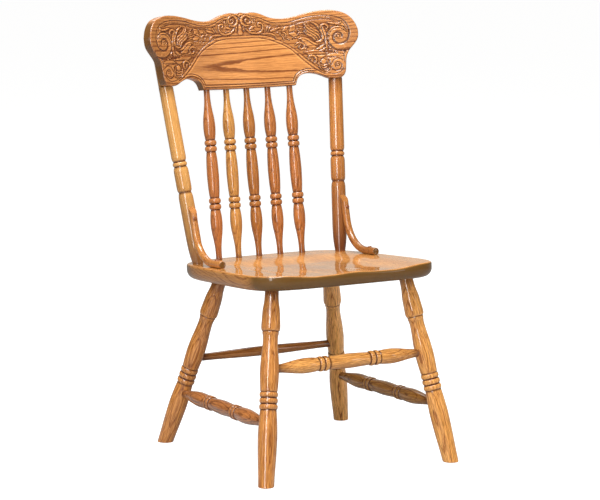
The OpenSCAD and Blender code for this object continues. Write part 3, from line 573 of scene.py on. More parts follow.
def stretcher_half(half):
    """Half of a turned stretcher, from its middle to the axis of a leg."""
    b, p, end, full = STRETCHER_BEAD_REACH, STRETCHER_BEAD_HALF, STRETCHER_END_DIA, STRETCHER_DIA
    waist = mix(end, full, 0.7)
    start = b + 14
    out = half - start
    return (swell([(0, full - 0.7), (b * 0.3, full - 2), (b - 2 * p - 1, waist - 0.6)])
            + bead(b - p, 2 * p - 1, full, waist - 1.5) + bead(b + p, 2 * p - 1, full, waist - 1.5)
            + swell([(start, waist + 0.4), (start + out * 0.12, full - 1.2)]
                    + part(start, out, end, full, (0.3, 1), (0.48, 0.78), (0.7, 0.32))
                    + [(start + out * 0.86, end + 0.4), (half, end)]))


def rear_stretcher_half(half):
    return swell([(0, REAR_STRETCHER_DIA), (half * 0.25, REAR_STRETCHER_DIA - 0.5),
                  (half * 0.75, REAR_STRETCHER_END_DIA + 0.8), (half, REAR_STRETCHER_END_DIA)])


def make_stretcher(name, a, b, half_profile, wood, seed):
    middle = (a + b) / 2
    half = (b - a).length / 2 - LEG_NECK_DIA / 3
    # Glaze and painted contact shade towards both ends, where the stretcher meets the legs
    glaze_and_shade_at_joints = [(half - 60, 0), (half - 30, 0.22), (half - 8, 0.8)]
    bm = turned(both_ways(half_profile(half)), middle, b, both_ways(glaze_and_shade_at_joints))
    material = lacquered(name + "_oak", laid_on(along(middle, b)), wood, {
        "Seed": seed, "Pith": (0.05, 0.02, 0.0), "Glaze And Painted Light": attribute_of("glaze_and_painted_light")})
    finish_piece(bm, name + "_turning", material, [name])


front_end = on_leg(FRONT_TOP, FRONT_FOOT, FRONT_STRETCHER_HEIGHT)
rear_end = on_leg(REAR_TOP, REAR_FOOT, REAR_STRETCHER_HEIGHT)
side_front = on_leg(FRONT_TOP, FRONT_FOOT, SIDE_STRETCHER_FRONT)
side_rear = on_leg(REAR_TOP, REAR_FOOT, SIDE_STRETCHER_REAR)
make_stretcher("front_stretcher", front_end, other_side(front_end), stretcher_half, STRAW, 12.5)
make_stretcher("rear_stretcher", rear_end, other_side(rear_end), rear_stretcher_half, UMBER, 15.5)
make_stretcher("side_stretcher_left", side_front, side_rear, stretcher_half, AMBER, 18.5)
make_stretcher("side_stretcher_right", other_side(side_front), other_side(side_rear), stretcher_half,
               OLIVE, 21.5)

# Back posts


def post_profile(length):
    """Post from its tenon up past the crest rail's lower edge: swelling, groove, barrel, ring and shaft."""
    g, b, d, w = POST_GROOVE_HEIGHT, POST_BARREL, POST_DIA, POST_FOOT_DIA
    top, narrow = g + b, d - POST_GROOVE_CUT
    foot = ([(-4, w - 1), (0, w), (10, mix(w, d, 0.3)), (22, mix(w, d, 0.62)), (38, mix(w, d, 0.86))]
            + [(60, d - 0.3), (g * 0.55, d), (g - 14, d - 0.5), (g - 5, d - 2.5)])
    barrel = [(g + 4, d - 1.5), (g + 10, d), (g + b / 2, d + 0.2), (top - 10, d), (top - 4, d - 1.5)]
    shaft = [(top + 16, d - 2), (top + 20, d - 0.6), (top + 28, d - 0.3), (length + 90, d - 1.8)]
    return ([(-22, POST_TENON_DIA), (-4, POST_TENON_DIA)] + swell(foot) + [(g, narrow)] + swell(barrel)
            + [(top, narrow)] + bead(top + 6, 9, d - 0.8, narrow + 0.5) + [(top + 12.5, narrow)]
            + swell(shaft))


def make_post(name, foot, top, wood, seed, foot_darkening, streaks):
    """The round post below its shoulder, and the tongue that the crest rail is lapped onto."""
    length = (top - foot).length
    profile = post_profile(length)
    up = Vector((0, math.sin(CREST_RAKE), math.cos(CREST_RAKE)))
    shoulder = crest_point(top.x, 0, EAR_BOTTOM - POST_GAP)
    lap = crest_point(top.x, CREST_THICK + POST_GAP, 0)
    in_front = 10
    out = (lap - crest_point(top.x * (CREST_RADIUS - in_front) / CREST_RADIUS, -in_front, 0)).normalized()
    tip = crest_point(top.x, 0, EAR_BOTTOM + POST_TONGUE)
    # Glaze and painted contact shade at both joints, and the post darker towards its foot
    joints = [(0, 0.8), (5, 0.3 + foot_darkening), (60, foot_darkening), (POST_GROOVE_HEIGHT, foot_darkening / 2),
              (POST_GROOVE_HEIGHT + POST_BARREL, 0), (length - 12, 0), (length, 0.6)]
    bm = turned(profile, foot, top, joints)
    cut(bm, shoulder, up)
    tongue = turned(profile, foot, top, joints)
    cut(tongue, shoulder - up * 6, -up)
    cut(tongue, lap, -out)
    end_edges = cut(tongue, tip, up)
    soften(tongue, end_edges, 1.5)
    scratch = bpy.data.meshes.new("tongue")
    tongue.to_mesh(scratch)
    tongue.free()
    bm.from_mesh(scratch)
    bpy.data.meshes.remove(scratch)
    material = lacquered(name + "_oak", laid_on(along(foot, top)), wood, {
        "Seed": seed, "Pith": (0.055, -0.025, 0.1), "Figure": streaks, "Streaks": streaks,
        "End": end_grain((top - foot).normalized(), CUT_ENDS), "Glaze And Painted Light": attribute_of("glaze_and_painted_light")})
    finish_piece(bm, name + "_turning", material, [name])


make_post("back_post_left", POST_FOOT, POST_TOP, GOLD, 31.0, 0.4, 0.3)
make_post("back_post_right", other_side(POST_FOOT), other_side(POST_TOP), TAN, 33.0, 0.64, 0.55)

# Spindles


def spindle_half(half):
    """Half of a spindle, from its middle to the end of its tenon."""
    d, w, e, b, p = SPINDLE_DIA, SPINDLE_WAIST_DIA, SPINDLE_END_DIA, SPINDLE_BEAD_REACH, SPINDLE_BEAD_HALF
    start = b + 2 * p + 2
    out = half - start
    return (swell([(0, d), (b * 0.3, d - 1), (b * 0.56, mix(w, d, 0.5)), (b - 2 * p - 2, w)])
            + bead(b - p, 2 * p - 1.5, d, w - 1.5) + bead(b + p, 2 * p - 1.5, d, w - 1.5)
            + swell([(start, w + 0.5)] + part(start, out, w, d, (0.1, 0.7), (0.22, 1))
                    + [(start + out * 0.32, d - 0.6)]
                    + part(start, out, e, d, (0.44, 0.78), (0.58, 0.42), (0.72, 0.14))
                    + [(start + out * 0.84, e + 0.3), (half + 4, e)])
            + [(half + 4, SPINDLE_TENON_DIA), (half + 20, SPINDLE_TENON_DIA)])


def make_spindle(number, wood):
    from_middle = number - 3
    foot_y = SPINDLE_REACH - SPINDLE_BOW * from_middle * from_middle / 4
    foot = seat_point(from_middle * SPINDLE_FOOT_PITCH, foot_y)
    top = crest_point(from_middle * SPINDLE_TOP_PITCH, CREST_THICK / 2, TAB_BOTTOM)
    middle = (foot + top) / 2
    half = (top - foot).length / 2
    # Glaze and painted contact shade towards both ends, where the spindle meets the seat and the crest rail
    glaze_and_shade_at_joints = [(half - 50, 0), (half - 12, 0.2), (half, 0.75)]
    bm = turned(both_ways(spindle_half(half)), middle, top, both_ways(glaze_and_shade_at_joints), 64)
    name = f"spindle_{number}"
    material = lacquered(name + "_oak", laid_on(along(middle, top)), wood, {
        "Seed": 40.0 + 3 * number, "Pith": (0.04, 0.02 + 0.004 * number, 0.0),
        "Streaks": 0.3 + 0.1 * number, "Glaze And Painted Light": attribute_of("glaze_and_painted_light")})
    finish_piece(bm, name + "_turning", material, [name])


for number, wood in enumerate((RUSSET, WHEAT, CHESTNUT, AMBER, AMBER), 1):
    make_spindle(number, wood)

# Seat

RIM_POINTS = 240
SEAT_REACH, SEAT_MIDDLE = (SEAT_FRONT + SEAT_BACK) / 2, (SEAT_BACK - SEAT_FRONT) / 2
CORNER_CROWD = math.radians(8.6)
TOP_RINGS, EDGE_RINGS, UNDERCUT_RINGS = 40, 6, 8
UNDERSIDE_RINGS = (0.97, 0.6, 0.2)

SEAT_UP = (0, math.sin(SEAT_SLOPE), math.cos(SEAT_SLOPE))
SEAT_GRAIN = (0, math.cos(SEAT_SLOPE), -math.sin(SEAT_SLOPE))
BOARD_WIDTH = 2 * SEAT_HALF / SEAT_BOARDS
# How far, in metres, the figure moves on from board to board, and how much its seed does
BOARD_SHIFT, BOARD_SEED = (0.31, 0.017, 0.83), 3.7
# How much the seat's surface faces up where its painted shade ends, and where its end grain and its lesser
# shine do
SIDE_SHADE_END, SIDE_END = (0.8, 0.985), (0.5, 0.9)
SEAT_SIDE_SHADE, SEAT_SIDE_SHINE = 0.38, 0.55


def saddle(x, y):
    """Height of the seat top over the plane of the blank."""
    across = ease((SADDLE_SIDE - abs(x)) / SADDLE_SIDE_RUN)
    back = ease((SADDLE_REAR - y) / SADDLE_REAR_RUN)
    front = 1 - FRONT_LIFT * ease((-y - FRONT_LIFT_START) / FRONT_LIFT_RUN)
    ridge = math.exp(-(x / POMMEL_WIDTH)**2) * ease((-y - POMMEL_START) / POMMEL_RUN)
    return -SADDLE_DEPTH * across * back * front + POMMEL_HEIGHT * ridge * back


def rim(i, inset):
    """Outline of the seat at rim point i, drawn in by an inset. The points crowd at the corners."""
    a = 2 * math.pi * i / RIM_POINTS
    a += CORNER_CROWD * math.sin(4 * a)
    w, h = SEAT_HALF - inset, SEAT_REACH - inset
    n = FRONT_SQUARENESS if math.sin(a) < 0 else REAR_SQUARENESS
    r = ((abs(math.cos(a)) / w)**n + (abs(math.sin(a)) / h)**n)**(-1 / n)
    taper = 1 - SEAT_TAPER / 2 / SEAT_HALF / 2 * r * math.sin(a) / h
    return r * math.cos(a) * taper, SEAT_MIDDLE + r * math.sin(a)


def seat_rings():
    """Rings of the seat from the middle of the top, over the edge, to the middle of the underside."""
    rings = []
    points = range(RIM_POINTS)
    edge = [rim(i, SEAT_EDGE) for i in points]
    for step in range(1, TOP_RINGS + 1):
        t = math.sin(math.pi / 2 * step / TOP_RINGS)
        ring = [(x * t, mix(SEAT_MIDDLE, y, t)) for x, y in edge]
        rings.append([(x, y, saddle(x, y)) for x, y in ring])
    drop = [saddle(x, y) for x, y in edge]
    for step in range(1, EDGE_RINGS + 1):
        a = math.pi / 2 * step / EDGE_RINGS
        inset = SEAT_EDGE * (1 - math.sin(a))
        rings.append([(*rim(i, inset), drop[i] - SEAT_EDGE * (1 - math.cos(a))) for i in points])
    start = SEAT_EDGE + SADDLE_DEPTH
    for step in range(UNDERCUT_RINGS + 1):
        a = math.pi / 2 * step / UNDERCUT_RINGS
        z = -start - (SEAT_THICK - start) * math.sin(a)
        rings.append([(*rim(i, SEAT_UNDERCUT * (1 - math.cos(a))), z) for i in points])
    under = [rim(i, SEAT_UNDERCUT) for i in points]
    for t in UNDERSIDE_RINGS:
        rings.append([(x * t, mix(SEAT_MIDDLE, y, t), -SEAT_THICK) for x, y in under])
    return rings


def seat_board_number(tree):
    """Number of the seat board at a place, from 0 at the left."""
    from_left = maths(tree, "ADD", coordinate(tree, object_place(tree), 0), SEAT_HALF * MM)
    return maths(tree, "FLOOR", maths(tree, "DIVIDE", from_left, BOARD_WIDTH * MM))


def seat_place(tree):
    """Coordinates with the grain from front to back, cut up so that each board has its own figure."""
    matrix = Matrix.Translation((0, 0, SEAT_HEIGHT)) @ Matrix.Rotation(-math.pi / 2, 4, "X")
    shift = vector_maths(tree, "MULTIPLY", BOARD_SHIFT, seat_board_number(tree))
    return vector_maths(tree, "ADD", laid_on(matrix)(tree), shift)


def seat_seed(tree):
    return maths(tree, "MULTIPLY", seat_board_number(tree), BOARD_SEED)


def seat_side_shade(tree):
    """Painted shade on the sides and the underside of the seat, and none on its top."""
    level = band(tree, turned_to(tree, SEAT_UP), SIDE_SHADE_END)
    return maths(tree, "MULTIPLY_ADD", level, -SEAT_SIDE_SHADE, SEAT_SIDE_SHADE)


def seat_end_grain(tree):
    """End grain on the front and the back of the seat, but not on the rounding above them."""
    faces = end_grain(SEAT_GRAIN, (0.02, 0.32))(tree)
    return maths(tree, "MULTIPLY", faces, without(tree, band(tree, turned_to(tree, SEAT_UP), SIDE_END)))


def seat_shine(tree):
    """Full lacquer on the top of the seat, and less on its sides and its underside."""
    level = band(tree, turned_to(tree, SEAT_UP), SIDE_END)
    return maths(tree, "MULTIPLY_ADD", level, 1 - SEAT_SIDE_SHINE, SEAT_SIDE_SHINE)


def make_seat():
    """The seat as one skin, cut into its boards."""
    whole = lofted(seat_rings())
    mesh = bpy.data.meshes.new("seat_form")
    whole.to_mesh(mesh)
    whole.free()
    material = lacquered("seat_oak", seat_place, SEAT_WOOD, {
        "Seed": seat_seed, "Ring Spacing": 0.0045, "Pith": (-0.17, 0.07, 0.1), "Taper": 0.018,
        "Figure": 0.55, "Streaks": 0.5, "Glaze And Painted Light": seat_side_shade, "End": seat_end_grain,
        "End Color": SEAT_END_GRAIN}, shine=seat_shine, coat_roughness=0.05)
    for number in range(1, SEAT_BOARDS + 1):
        bm = bmesh.new()
        bm.from_mesh(mesh)
        left = -SEAT_HALF + (number - 1) * BOARD_WIDTH
        if number > 1:
            cut(bm, (left, 0, 0), (-1, 0, 0))
        if number < SEAT_BOARDS:
            cut(bm, (left + BOARD_WIDTH, 0, 0), (1, 0, 0))
        finish_piece(bm, f"seat_board_{number}_saddled", material, [f"seat_board_{number}"])
    bpy.data.meshes.remove(mesh)


make_seat()

# Crest rail

UPPER_EDGE = [(0, 165), (13, 162.9), (29, 164.4), (45, 161.8), (58, 156.9), (70, 151.5), (83, 147.7),
              (104, 145.4), (127, 147.4), (154, 153.2), (181, 157.6), (204, 158.5), (219, 157.4),
              (231, 154.6), (242, 150.8), (253.5, 144.4), (264, 133.8), (271.5, 120.5), (276, 105.5)]
LOWER_EDGE = [(124, TAB_BOTTOM), (125.2, -11.3), (128.4, -2.5), (133.7, 4.4), (141, 8.9), (155, 12),
              (172, 9.3), (187, 3), (200, -4), (217, EAR_BOTTOM), (229.5, -5), (236, 0), (240, 7.5),
              (241.9, 18), (243.3, 30), (245.2, 41), (248.6, 50), (253.7, 58.5), (260.5, 66.3),
              (267, 73.6), (272.5, 81.5), (275.4, 90), (276, 98)]
CREST_COLUMNS, CREST_ROWS = 540, 164
# Points to each stretch of the outline and of the pattern's lines
EDGE_STEPS, LINE_STEPS = 12, 6
# How steep the lower edge counts at most, and how much closer the columns stand there
STEEP_MOST, STEEP_CROWD = 3, 0.8
EDGE_ROUND = 3.5

# Where the drawn outline's tab, post and ear lie on the rail as it is built
OUTLINE_DRAWN, OUTLINE_BUILT = (0, 124, 225.08, 276), (0, 123.8, 226.5, 275.7)

# Pressed pattern of the right half, in millimetres on the face. Grooves are (points, half width, depth)
GROOVES = [
    # Border lines under the top edge and round the ear
    ([(24, 154), (38, 152), (50, 148.5), (62, 142.5), (75, 137.5), (88, 135), (102, 134.2), (118, 135),
      (135, 138.5), (155, 143), (175, 145.8), (195, 146.3), (212, 144.6), (228, 140.5), (240, 134.5),
      (248.5, 126), (253.5, 116), (255.5, 105), (254.5, 98)], 1.3, 1.1),
    ([(255, 108), (255.3, 100), (253.5, 90), (249, 81.5), (242, 76.2), (234, 75), (226.5, 77.3),
      (221.3, 83), (219.5, 90.5), (221.5, 97.5), (227, 102), (233, 102), (237.8, 98.7), (239.5, 93.5),
      (237, 89)], 1.7, 1.7),
    ([(62, 134.5), (75, 129.8), (88, 127.4), (102, 126.6), (118, 127.3), (135, 130), (155, 134.6),
      (175, 137.4), (195, 137.8), (208, 136.4), (220, 133.4), (229, 129)], 1.0, 0.8),
    ([(24, 149), (38, 147.5), (50, 143.5), (62, 137.5), (75, 133), (88, 130.8), (102, 130.2), (118, 131),
      (135, 134), (155, 138.5), (175, 141.2), (195, 141.5), (210, 139.8), (224, 136.5), (235, 130.5),
      (238, 127)], 1.2, 1.0),
    ([(205, 141), (219, 139.8), (230, 136.8), (240, 130), (247, 121.5), (250.5, 112),
      (250.5, 106)], 1.0, 0.8),
    # Round the great volute and its lobe
    ([(209, 80), (206.5, 88), (207, 98), (210, 107), (216, 114), (226, 118.3), (236, 118.3), (245, 114.5),
      (250, 108)], 1.2, 1.1),
    ([(207, 86), (210, 77), (216, 69), (224, 62.5), (233, 59), (243, 57.8), (252, 59),
      (258, 61.5)], 1.4, 1.3),
    ([(247, 57), (241.5, 50.5), (239.5, 43), (240, 36), (241.5, 28)], 1.0, 0.7),
    # Small volute and the border of the lower ear
    ([(238, 33), (232, 38), (225, 40), (218, 38), (213, 32.5), (211, 26)], 1.1, 0.9),
    ([(210.5, 22), (213, 15), (219, 11.2), (226, 12), (231.5, 17), (232.8, 24), (229.5, 29.5),
      (223.5, 31), (219, 27.5), (218.5, 22.5), (221.5, 19)], 1.2, 1.0),
    ([(190, 13), (198, 8.7), (208, 5.5), (218, 4), (226, 6), (233, 11), (237.5, 18)], 1.0, 0.8),
    # The long arch over the plain panel
    ([(-16, 103.4), (25, 103.2), (45, 101.6), (60, 98.8), (72, 95.5), (85, 89.5), (100, 82.7),
      (115, 73.7), (130, 60.7), (140, 50.3), (150, 40), (160, 30.6), (170, 21.5), (180, 14), (190, 8.5),
      (200, 4.5)], 1.3, 1.2),
    ([(-16, 106.3), (25, 106.2), (45, 104.8), (60, 102.4), (72, 99.6)], 0.9, 0.7),
    ([(-16, 109.3), (30, 108.4), (50, 107), (70, 103.2), (85, 96.8), (100, 89), (115, 79.5), (130, 67.5),
      (142, 56.5), (152, 46.5), (162, 37), (172, 28), (182, 19.5), (190, 13.5), (199, 10.2)], 1.2, 1.0),
    # Two level lines over the small volute
    ([(203, 43.5), (213, 42.3), (224, 42), (234, 41)], 0.9, 0.8),
]

# Leaves, stems and beads are (points, half widths along them, height)
STROKES = [
    # Broad leaves in the ear
    ([(150, 62), (162, 59), (176, 60), (190, 57), (199, 55)], (1, 4.8, 5, 4.2, 1), 0.9),
    ([(178, 51), (188, 48), (199, 50)], (1, 4, 1), 0.8),
    ([(147, 93), (158, 84), (168, 76), (179, 71)], (2, 7.5, 7, 1.5), 1.0),
    ([(203, 49), (215, 49.5), (228, 48.5), (238, 46)], (1.5, 4, 4, 2), 0.6),
    # Plume
    ([(163, 130), (168, 121), (176, 114), (185, 109.5), (189, 103)], (0.8, 2.3, 2.4, 2, 0.8), 1.0),
    ([(158, 133), (160, 124), (167, 115), (177, 107), (186, 100), (190, 91)],
      (0.8, 2.5, 2.8, 2.6, 2.2, 1), 1.1),
    ([(157, 119), (163, 110.5), (172, 104), (181, 96.5), (185, 88)], (0.8, 2.4, 2.6, 2.4, 1), 1.1),
    ([(156, 110), (163, 103.5), (172, 97.5), (178, 90.5), (180, 85)], (0.8, 2.2, 2.4, 2.2, 1), 1.1),
    ([(172, 132), (182, 127), (190, 117), (195.5, 106.5), (198, 97), (195.5, 88), (188, 83.5),
      (179, 84.5)], (0.8, 2.6, 2.8, 3, 3.2, 3, 2.6, 1), 1.2),
    ([(140, 93), (150, 95.5), (160, 92), (168, 85.5), (177, 79), (188, 77.5)],
      (1, 2.4, 2.6, 2.6, 2.3, 1), 1.1),
    # Stem and hooked curl beside the volute
    ([(198.5, 117), (201, 107), (203.5, 96), (204.5, 84), (203.5, 72), (202, 61)],
      (1.5, 2.8, 2.4, 2.2, 2.3, 1.2), 1.0),
    ([(192.5, 115), (195.5, 121.5), (202.5, 123.8), (208.8, 120.8), (210.5, 115.5), (206.3, 112.5)],
      (1.6, 2.4, 2.6, 2.4, 2.2, 1.6), 1.2),
    ([(181, 66), (190, 69), (199, 76)], (1, 3.8, 1), 1.0),
    ([(186, 60.5), (194, 62.5), (200.5, 68)], (1, 2.8, 1), 1.0),
    ([(209, 73), (212.5, 67), (213.5, 61)], (0.8, 2, 0.8), 0.9),
    # Ridge round the great volute and the tongue over it
    ([(209.5, 92), (210.5, 100), (214, 107.5), (220.5, 112.8), (229, 115), (238, 114.3), (246, 109.5),
      (251, 101.5)], (0.8, 1.8, 2.2, 2.4, 2.4, 2.2, 1.8, 0.8), 1.0),
    ([(224.2, 91), (226, 96), (230.5, 98.3), (234.8, 96.3)], (0.8, 1.6, 1.6, 0.8), 1.0),
    ([(211, 128), (221, 125), (231, 122.6), (238.5, 124), (240, 128.5)], (0.8, 2.4, 2.6, 2.4, 1.2), 1.1),
    # Broad petal and the short strokes beside it
    ([(121, 107), (129, 105), (139, 102.5)], (2.5, 6, 1.2), 1.0),
    ([(121, 113), (128, 120.5), (135, 128)], (2.5, 7.5, 1.2), 1.1),
    ([(140.5, 117.4), (148, 118), (155, 116)], (1, 1.5, 0.8), 0.9),
    ([(140, 113.3), (148, 113.6), (155, 112)], (1, 1.5, 0.8), 0.9),
    ([(140, 109.2), (147, 109), (153, 107.5)], (1, 1.5, 0.8), 0.9),
    ([(141, 105), (147, 103.8), (152, 101.5)], (1, 1.4, 0.8), 0.9),
    ([(142, 128), (146, 123), (153, 121.5)], (0.8, 1.8, 0.8), 0.9),
    # Leaf and curved strokes between the petal and the scroll
    ([(103, 115.5), (111, 120.5), (119, 125)], (1, 5, 1), 1.0),
    ([(99.5, 113), (107, 111), (110.5, 105.5), (108, 99)], (1, 2, 2, 1), 1.0),
    ([(95, 106.5), (100.5, 104), (102.5, 98.5)], (0.8, 1.8, 0.8), 0.9),
    ([(74, 117), (84, 119.8), (93, 122.3), (100, 125)], (2, 3.2, 2.4, 0.8), 1.0),
    ([(62.5, 117), (65, 124), (70, 130)], (1.2, 2, 0.9), 0.9),
    ([(68.5, 117.5), (72, 124), (77.5, 128.5)], (1.2, 2, 0.9), 0.9),
    ([(76, 130), (86, 127.5), (97, 128.2)], (0.8, 1.3, 0.8), 0.6),
    # Scrolls nearer the middle
    ([(50, 110.8), (60, 111.3), (71, 110.6), (79, 108), (84.7, 103.2), (85.5, 97.5)],
      (1, 2.2, 2.3, 2.3, 2.2, 1.2), 1.1),
    ([(88, 111.5), (93, 113), (97.5, 110.5), (96, 107)], (1, 1.7, 1.7, 1), 0.9),
    ([(20, 124), (27, 127.5), (34, 130.5)], (1, 3.2, 1), 0.9),
    ([(19, 119.5), (27, 120.5), (36, 117.5)], (1, 2.2, 1), 0.9),
    ([(30, 137.5), (30.3, 146.5)], (1.7, 1.4), 0.8),
    ([(35, 138.5), (35.6, 145.5)], (1.5, 1.2), 0.8),
    ([(46.5, 130), (42.8, 131.8), (43.3, 135.8), (48.3, 137.3), (53, 134.5), (55, 129), (53.7, 121.5),
      (48.5, 115.8), (40.5, 113), (31.5, 113), (23, 115.3), (15.5, 119.8), (10.5, 126)],
      (1.6, 1.8, 2, 2.2, 2.3, 2.4, 2.4, 2.4, 2.3, 2.3, 2.2, 2, 1), 1.2),
    ([(131, 79.5), (137, 84), (145, 84.5), (151.5, 80.5), (153, 74), (148.5, 69.5), (142, 70.5),
      (140, 75.5), (143.5, 78.5)], (1, 2, 2.2, 2.2, 2.2, 2, 1.8, 1.6, 1.2), 1.1),
    # Curls at the foot of the pattern
    ([(159, 46), (163.5, 51), (170, 51.5), (175.5, 47.5), (177, 41), (174.5, 35), (169.5, 33.5)],
      (1, 2, 2.2, 2.2, 2, 1.8, 1), 1.1),
    ([(152.5, 48), (157.5, 45.5), (160, 40)], (0.8, 1.6, 0.8), 0.9),
    ([(163.5, 45), (167, 41.5), (167.5, 36)], (0.8, 1.5, 0.8), 0.9),
    ([(186, 27.5), (193, 25.5), (200, 27.5)], (1, 1.5, 1), 0.9),
    ([(188, 22), (194, 20), (200, 21.5)], (1, 1.4, 1), 0.9),
    ([(190, 17), (195.5, 15.2), (201, 16.5)], (0.9, 1.3, 0.9), 0.9),
    ([(181.5, 33), (183.5, 24), (188.5, 15.5), (197, 11.8), (204, 15), (206, 23), (204, 32)],
      (1, 1.4, 1.5, 1.5, 1.5, 1.4, 1), 0.9),
    # The middle: twin volutes and the small bell between them
    ([(21, 133), (10, 132.5), (3, 137), (0, 145), (2.5, 152), (9.5, 156.5), (18, 155.5), (24.5, 150.5),
      (26, 143.5), (21.5, 138.3), (15, 138.3), (11.3, 143), (13, 148), (18, 147)],
      (1, 2, 2.4, 2.5, 2.5, 2.4, 2.3, 2.2, 2, 1.9, 1.8, 1.6, 1.4, 1), 1.2),
    ([(-5.5, 158), (-5.5, 149)], (2.4, 1.2), 0.9),
    ([(-5.5, 134), (-5.5, 127)], (2, 4.8), 1.1),
    ([(3, 131), (5, 125), (5.5, 119)], (1, 1.6, 0.9), 0.9),
]

# Round beads and rosettes are (centre, radius, height)
BEADS = [((-5.5, 116), 6.2, 1.1), ((193, 35.5), 6.4, 1.1), ((211.5, 61.5), 2.4, 1.0),
         ((217.5, 58.5), 2.4, 1.0), ((223.5, 55.8), 2.5, 1.0), ((155.3, 69.5), 2.3, 1.0),
         ((105, 94.5), 2, 0.9), ((113, 96), 2.2, 0.9), ((117, 93.5), 1.8, 0.8), ((231.5, 92.8), 3, 0.9),
         ((225, 24.5), 2.6, 0.8), ((204, 54.5), 2, 0.8), ((133, 97), 2.2, 0.9), ((127, 96), 1.8, 0.8)]

# The pressed ground, between the border, the arch and the volutes
GROUND = [(-12, 110), (30, 109), (50, 107.5), (70, 103.7), (85, 97.3), (100, 89.5), (115, 80), (130, 68),
          (142, 57), (152, 47), (162, 37.5), (172, 28.5), (182, 20), (190, 14), (199, 10.6), (207, 14),
          (209.5, 26), (209, 36), (203, 43), (238, 45), (240, 52), (246, 57), (233, 58.2), (223.5, 61.8),
          (215.3, 68.4), (209, 77), (206, 87), (206.3, 98), (209.3, 107.5), (215.5, 114.7), (226, 119.3),
          (234, 120), (240, 129), (234, 130.5), (223.5, 135.5), (209.5, 138.8), (195, 140.4), (175, 140),
          (155, 137.4), (135, 133), (118, 130), (102, 129), (88, 129.6), (75, 132), (62, 136.3),
          (50, 142), (38, 146.2), (24, 148), (20, 157), (-12, 158)]

# The ground's depth, the rise of the forms on it and the hollows round them, and how the grooves are cut
GROUND_DEPTH, RISE, MARGIN = 1.15, 1.45, 3
STROKE_HOLLOW, BEAD_HOLLOW, HOLLOW_WIDTH = 0.6, 0.5, 1.0
GROOVE_DEEPER, GROOVE_WIDER, GROOVE_FADE = 1.15, 1.15, 0.03
PATTERN_SHIFT, PATTERN_SHIFT_REACH = 5.5, 180

# Two lines and the ridge between them: their distance from the tab's edge, width and height, and their end
TAB_LINES, TAB_LINE_WIDTH, TAB_LINE_DEPTH = (4.2, 9.4), 1.2, 1.3
TAB_RIDGE, TAB_RIDGE_WIDTH, TAB_RIDGE_HEIGHT = 6.8, 1.4, 0.5
TAB_EDGE_END, TAB_LINE_END, TAB_LINE_FADE = 182, 160, 16

# The upper edge of the plain panel
PANEL_TOP = [(-8, 103.4), (45, 101.6), (72, 95.5), (100, 82.7), (115, 73.7), (130, 60.7), (150, 40),
             (170, 21.5), (180, 14), (200, -10), (204, -60)]

# Glaze and painted shade on the face, and rubbed wood and painted highlight, by how far a place lies below
# or over the mean of those near it, the thin coat, and painted shade towards the left end
CREST_LEVEL_REACH, GLAZE_SHADE_CAP = 3, 0.94
CREST_GLAZE_SHADE_FROM, CREST_GLAZE_SHADE_RUN, CREST_GLAZE_SHADE_MOST = 0.04, 0.36, 0.86
CREST_RUBBED_HIGHLIGHT_FROM, CREST_RUBBED_HIGHLIGHT_RUN, CREST_RUBBED_HIGHLIGHT_MOST = 0.1, 0.6, 0.24
THIN_GLAZE, PANEL_EDGE = 0.13, 4
# Painted shade that darkens the face towards the rail's left end: its most, where it starts and its run
LEFT_END_SHADE, LEFT_END_SHADE_START, LEFT_END_SHADE_RUN = 0.26, 10, 150


def inside(polygon, x, z):
    """Whether places lie within a closed outline."""
    within = np.zeros(x.shape, bool)
    for (ax, az), (bx, bz) in zip(polygon, polygon[1:] + polygon[:1]):
        if az != bz:
            crosses = (az > z) != (bz > z)
            within ^= crosses & (x < ax + (z - az) * (bx - ax) / (bz - az))
    return within


def near(points, x, z, margin):
    """Whether places lie in the box round some points, or within a margin of it."""
    low, high = points.min(0) - margin, points.max(0) + margin
    return (x > low[0]) & (x < high[0]) & (z > low[1]) & (z < high[1])


def distance_to(points, x, z):
    """Distance from places to a line of points, and the nearest point's share of the line's length."""
    best = np.full(x.shape, 1e9)
    share = np.zeros(x.shape)
    pieces = np.hypot(*np.diff(points, axis=0).T)
    run = np.concatenate([[0], np.cumsum(pieces)])
    for i, length in enumerate(pieces):
        (ax, az), (bx, bz) = points[i], points[i + 1]
        t = np.clip(((x - ax) * (bx - ax) + (z - az) * (bz - az)) / max(length * length, 1e-9), 0, 1)
        d = np.hypot(x - ax - t * (bx - ax), z - az - t * (bz - az))
        closer = d < best
        best = np.where(closer, d, best)
        share = np.where(closer, (run[i] + t * length) / run[-1], share)
    return best, share


def dome(d, radius):
    """Height of a round form at a distance from its middle, from 0 to 1."""
    return np.sqrt(np.clip(1 - (d / radius)**2, 0, 1))


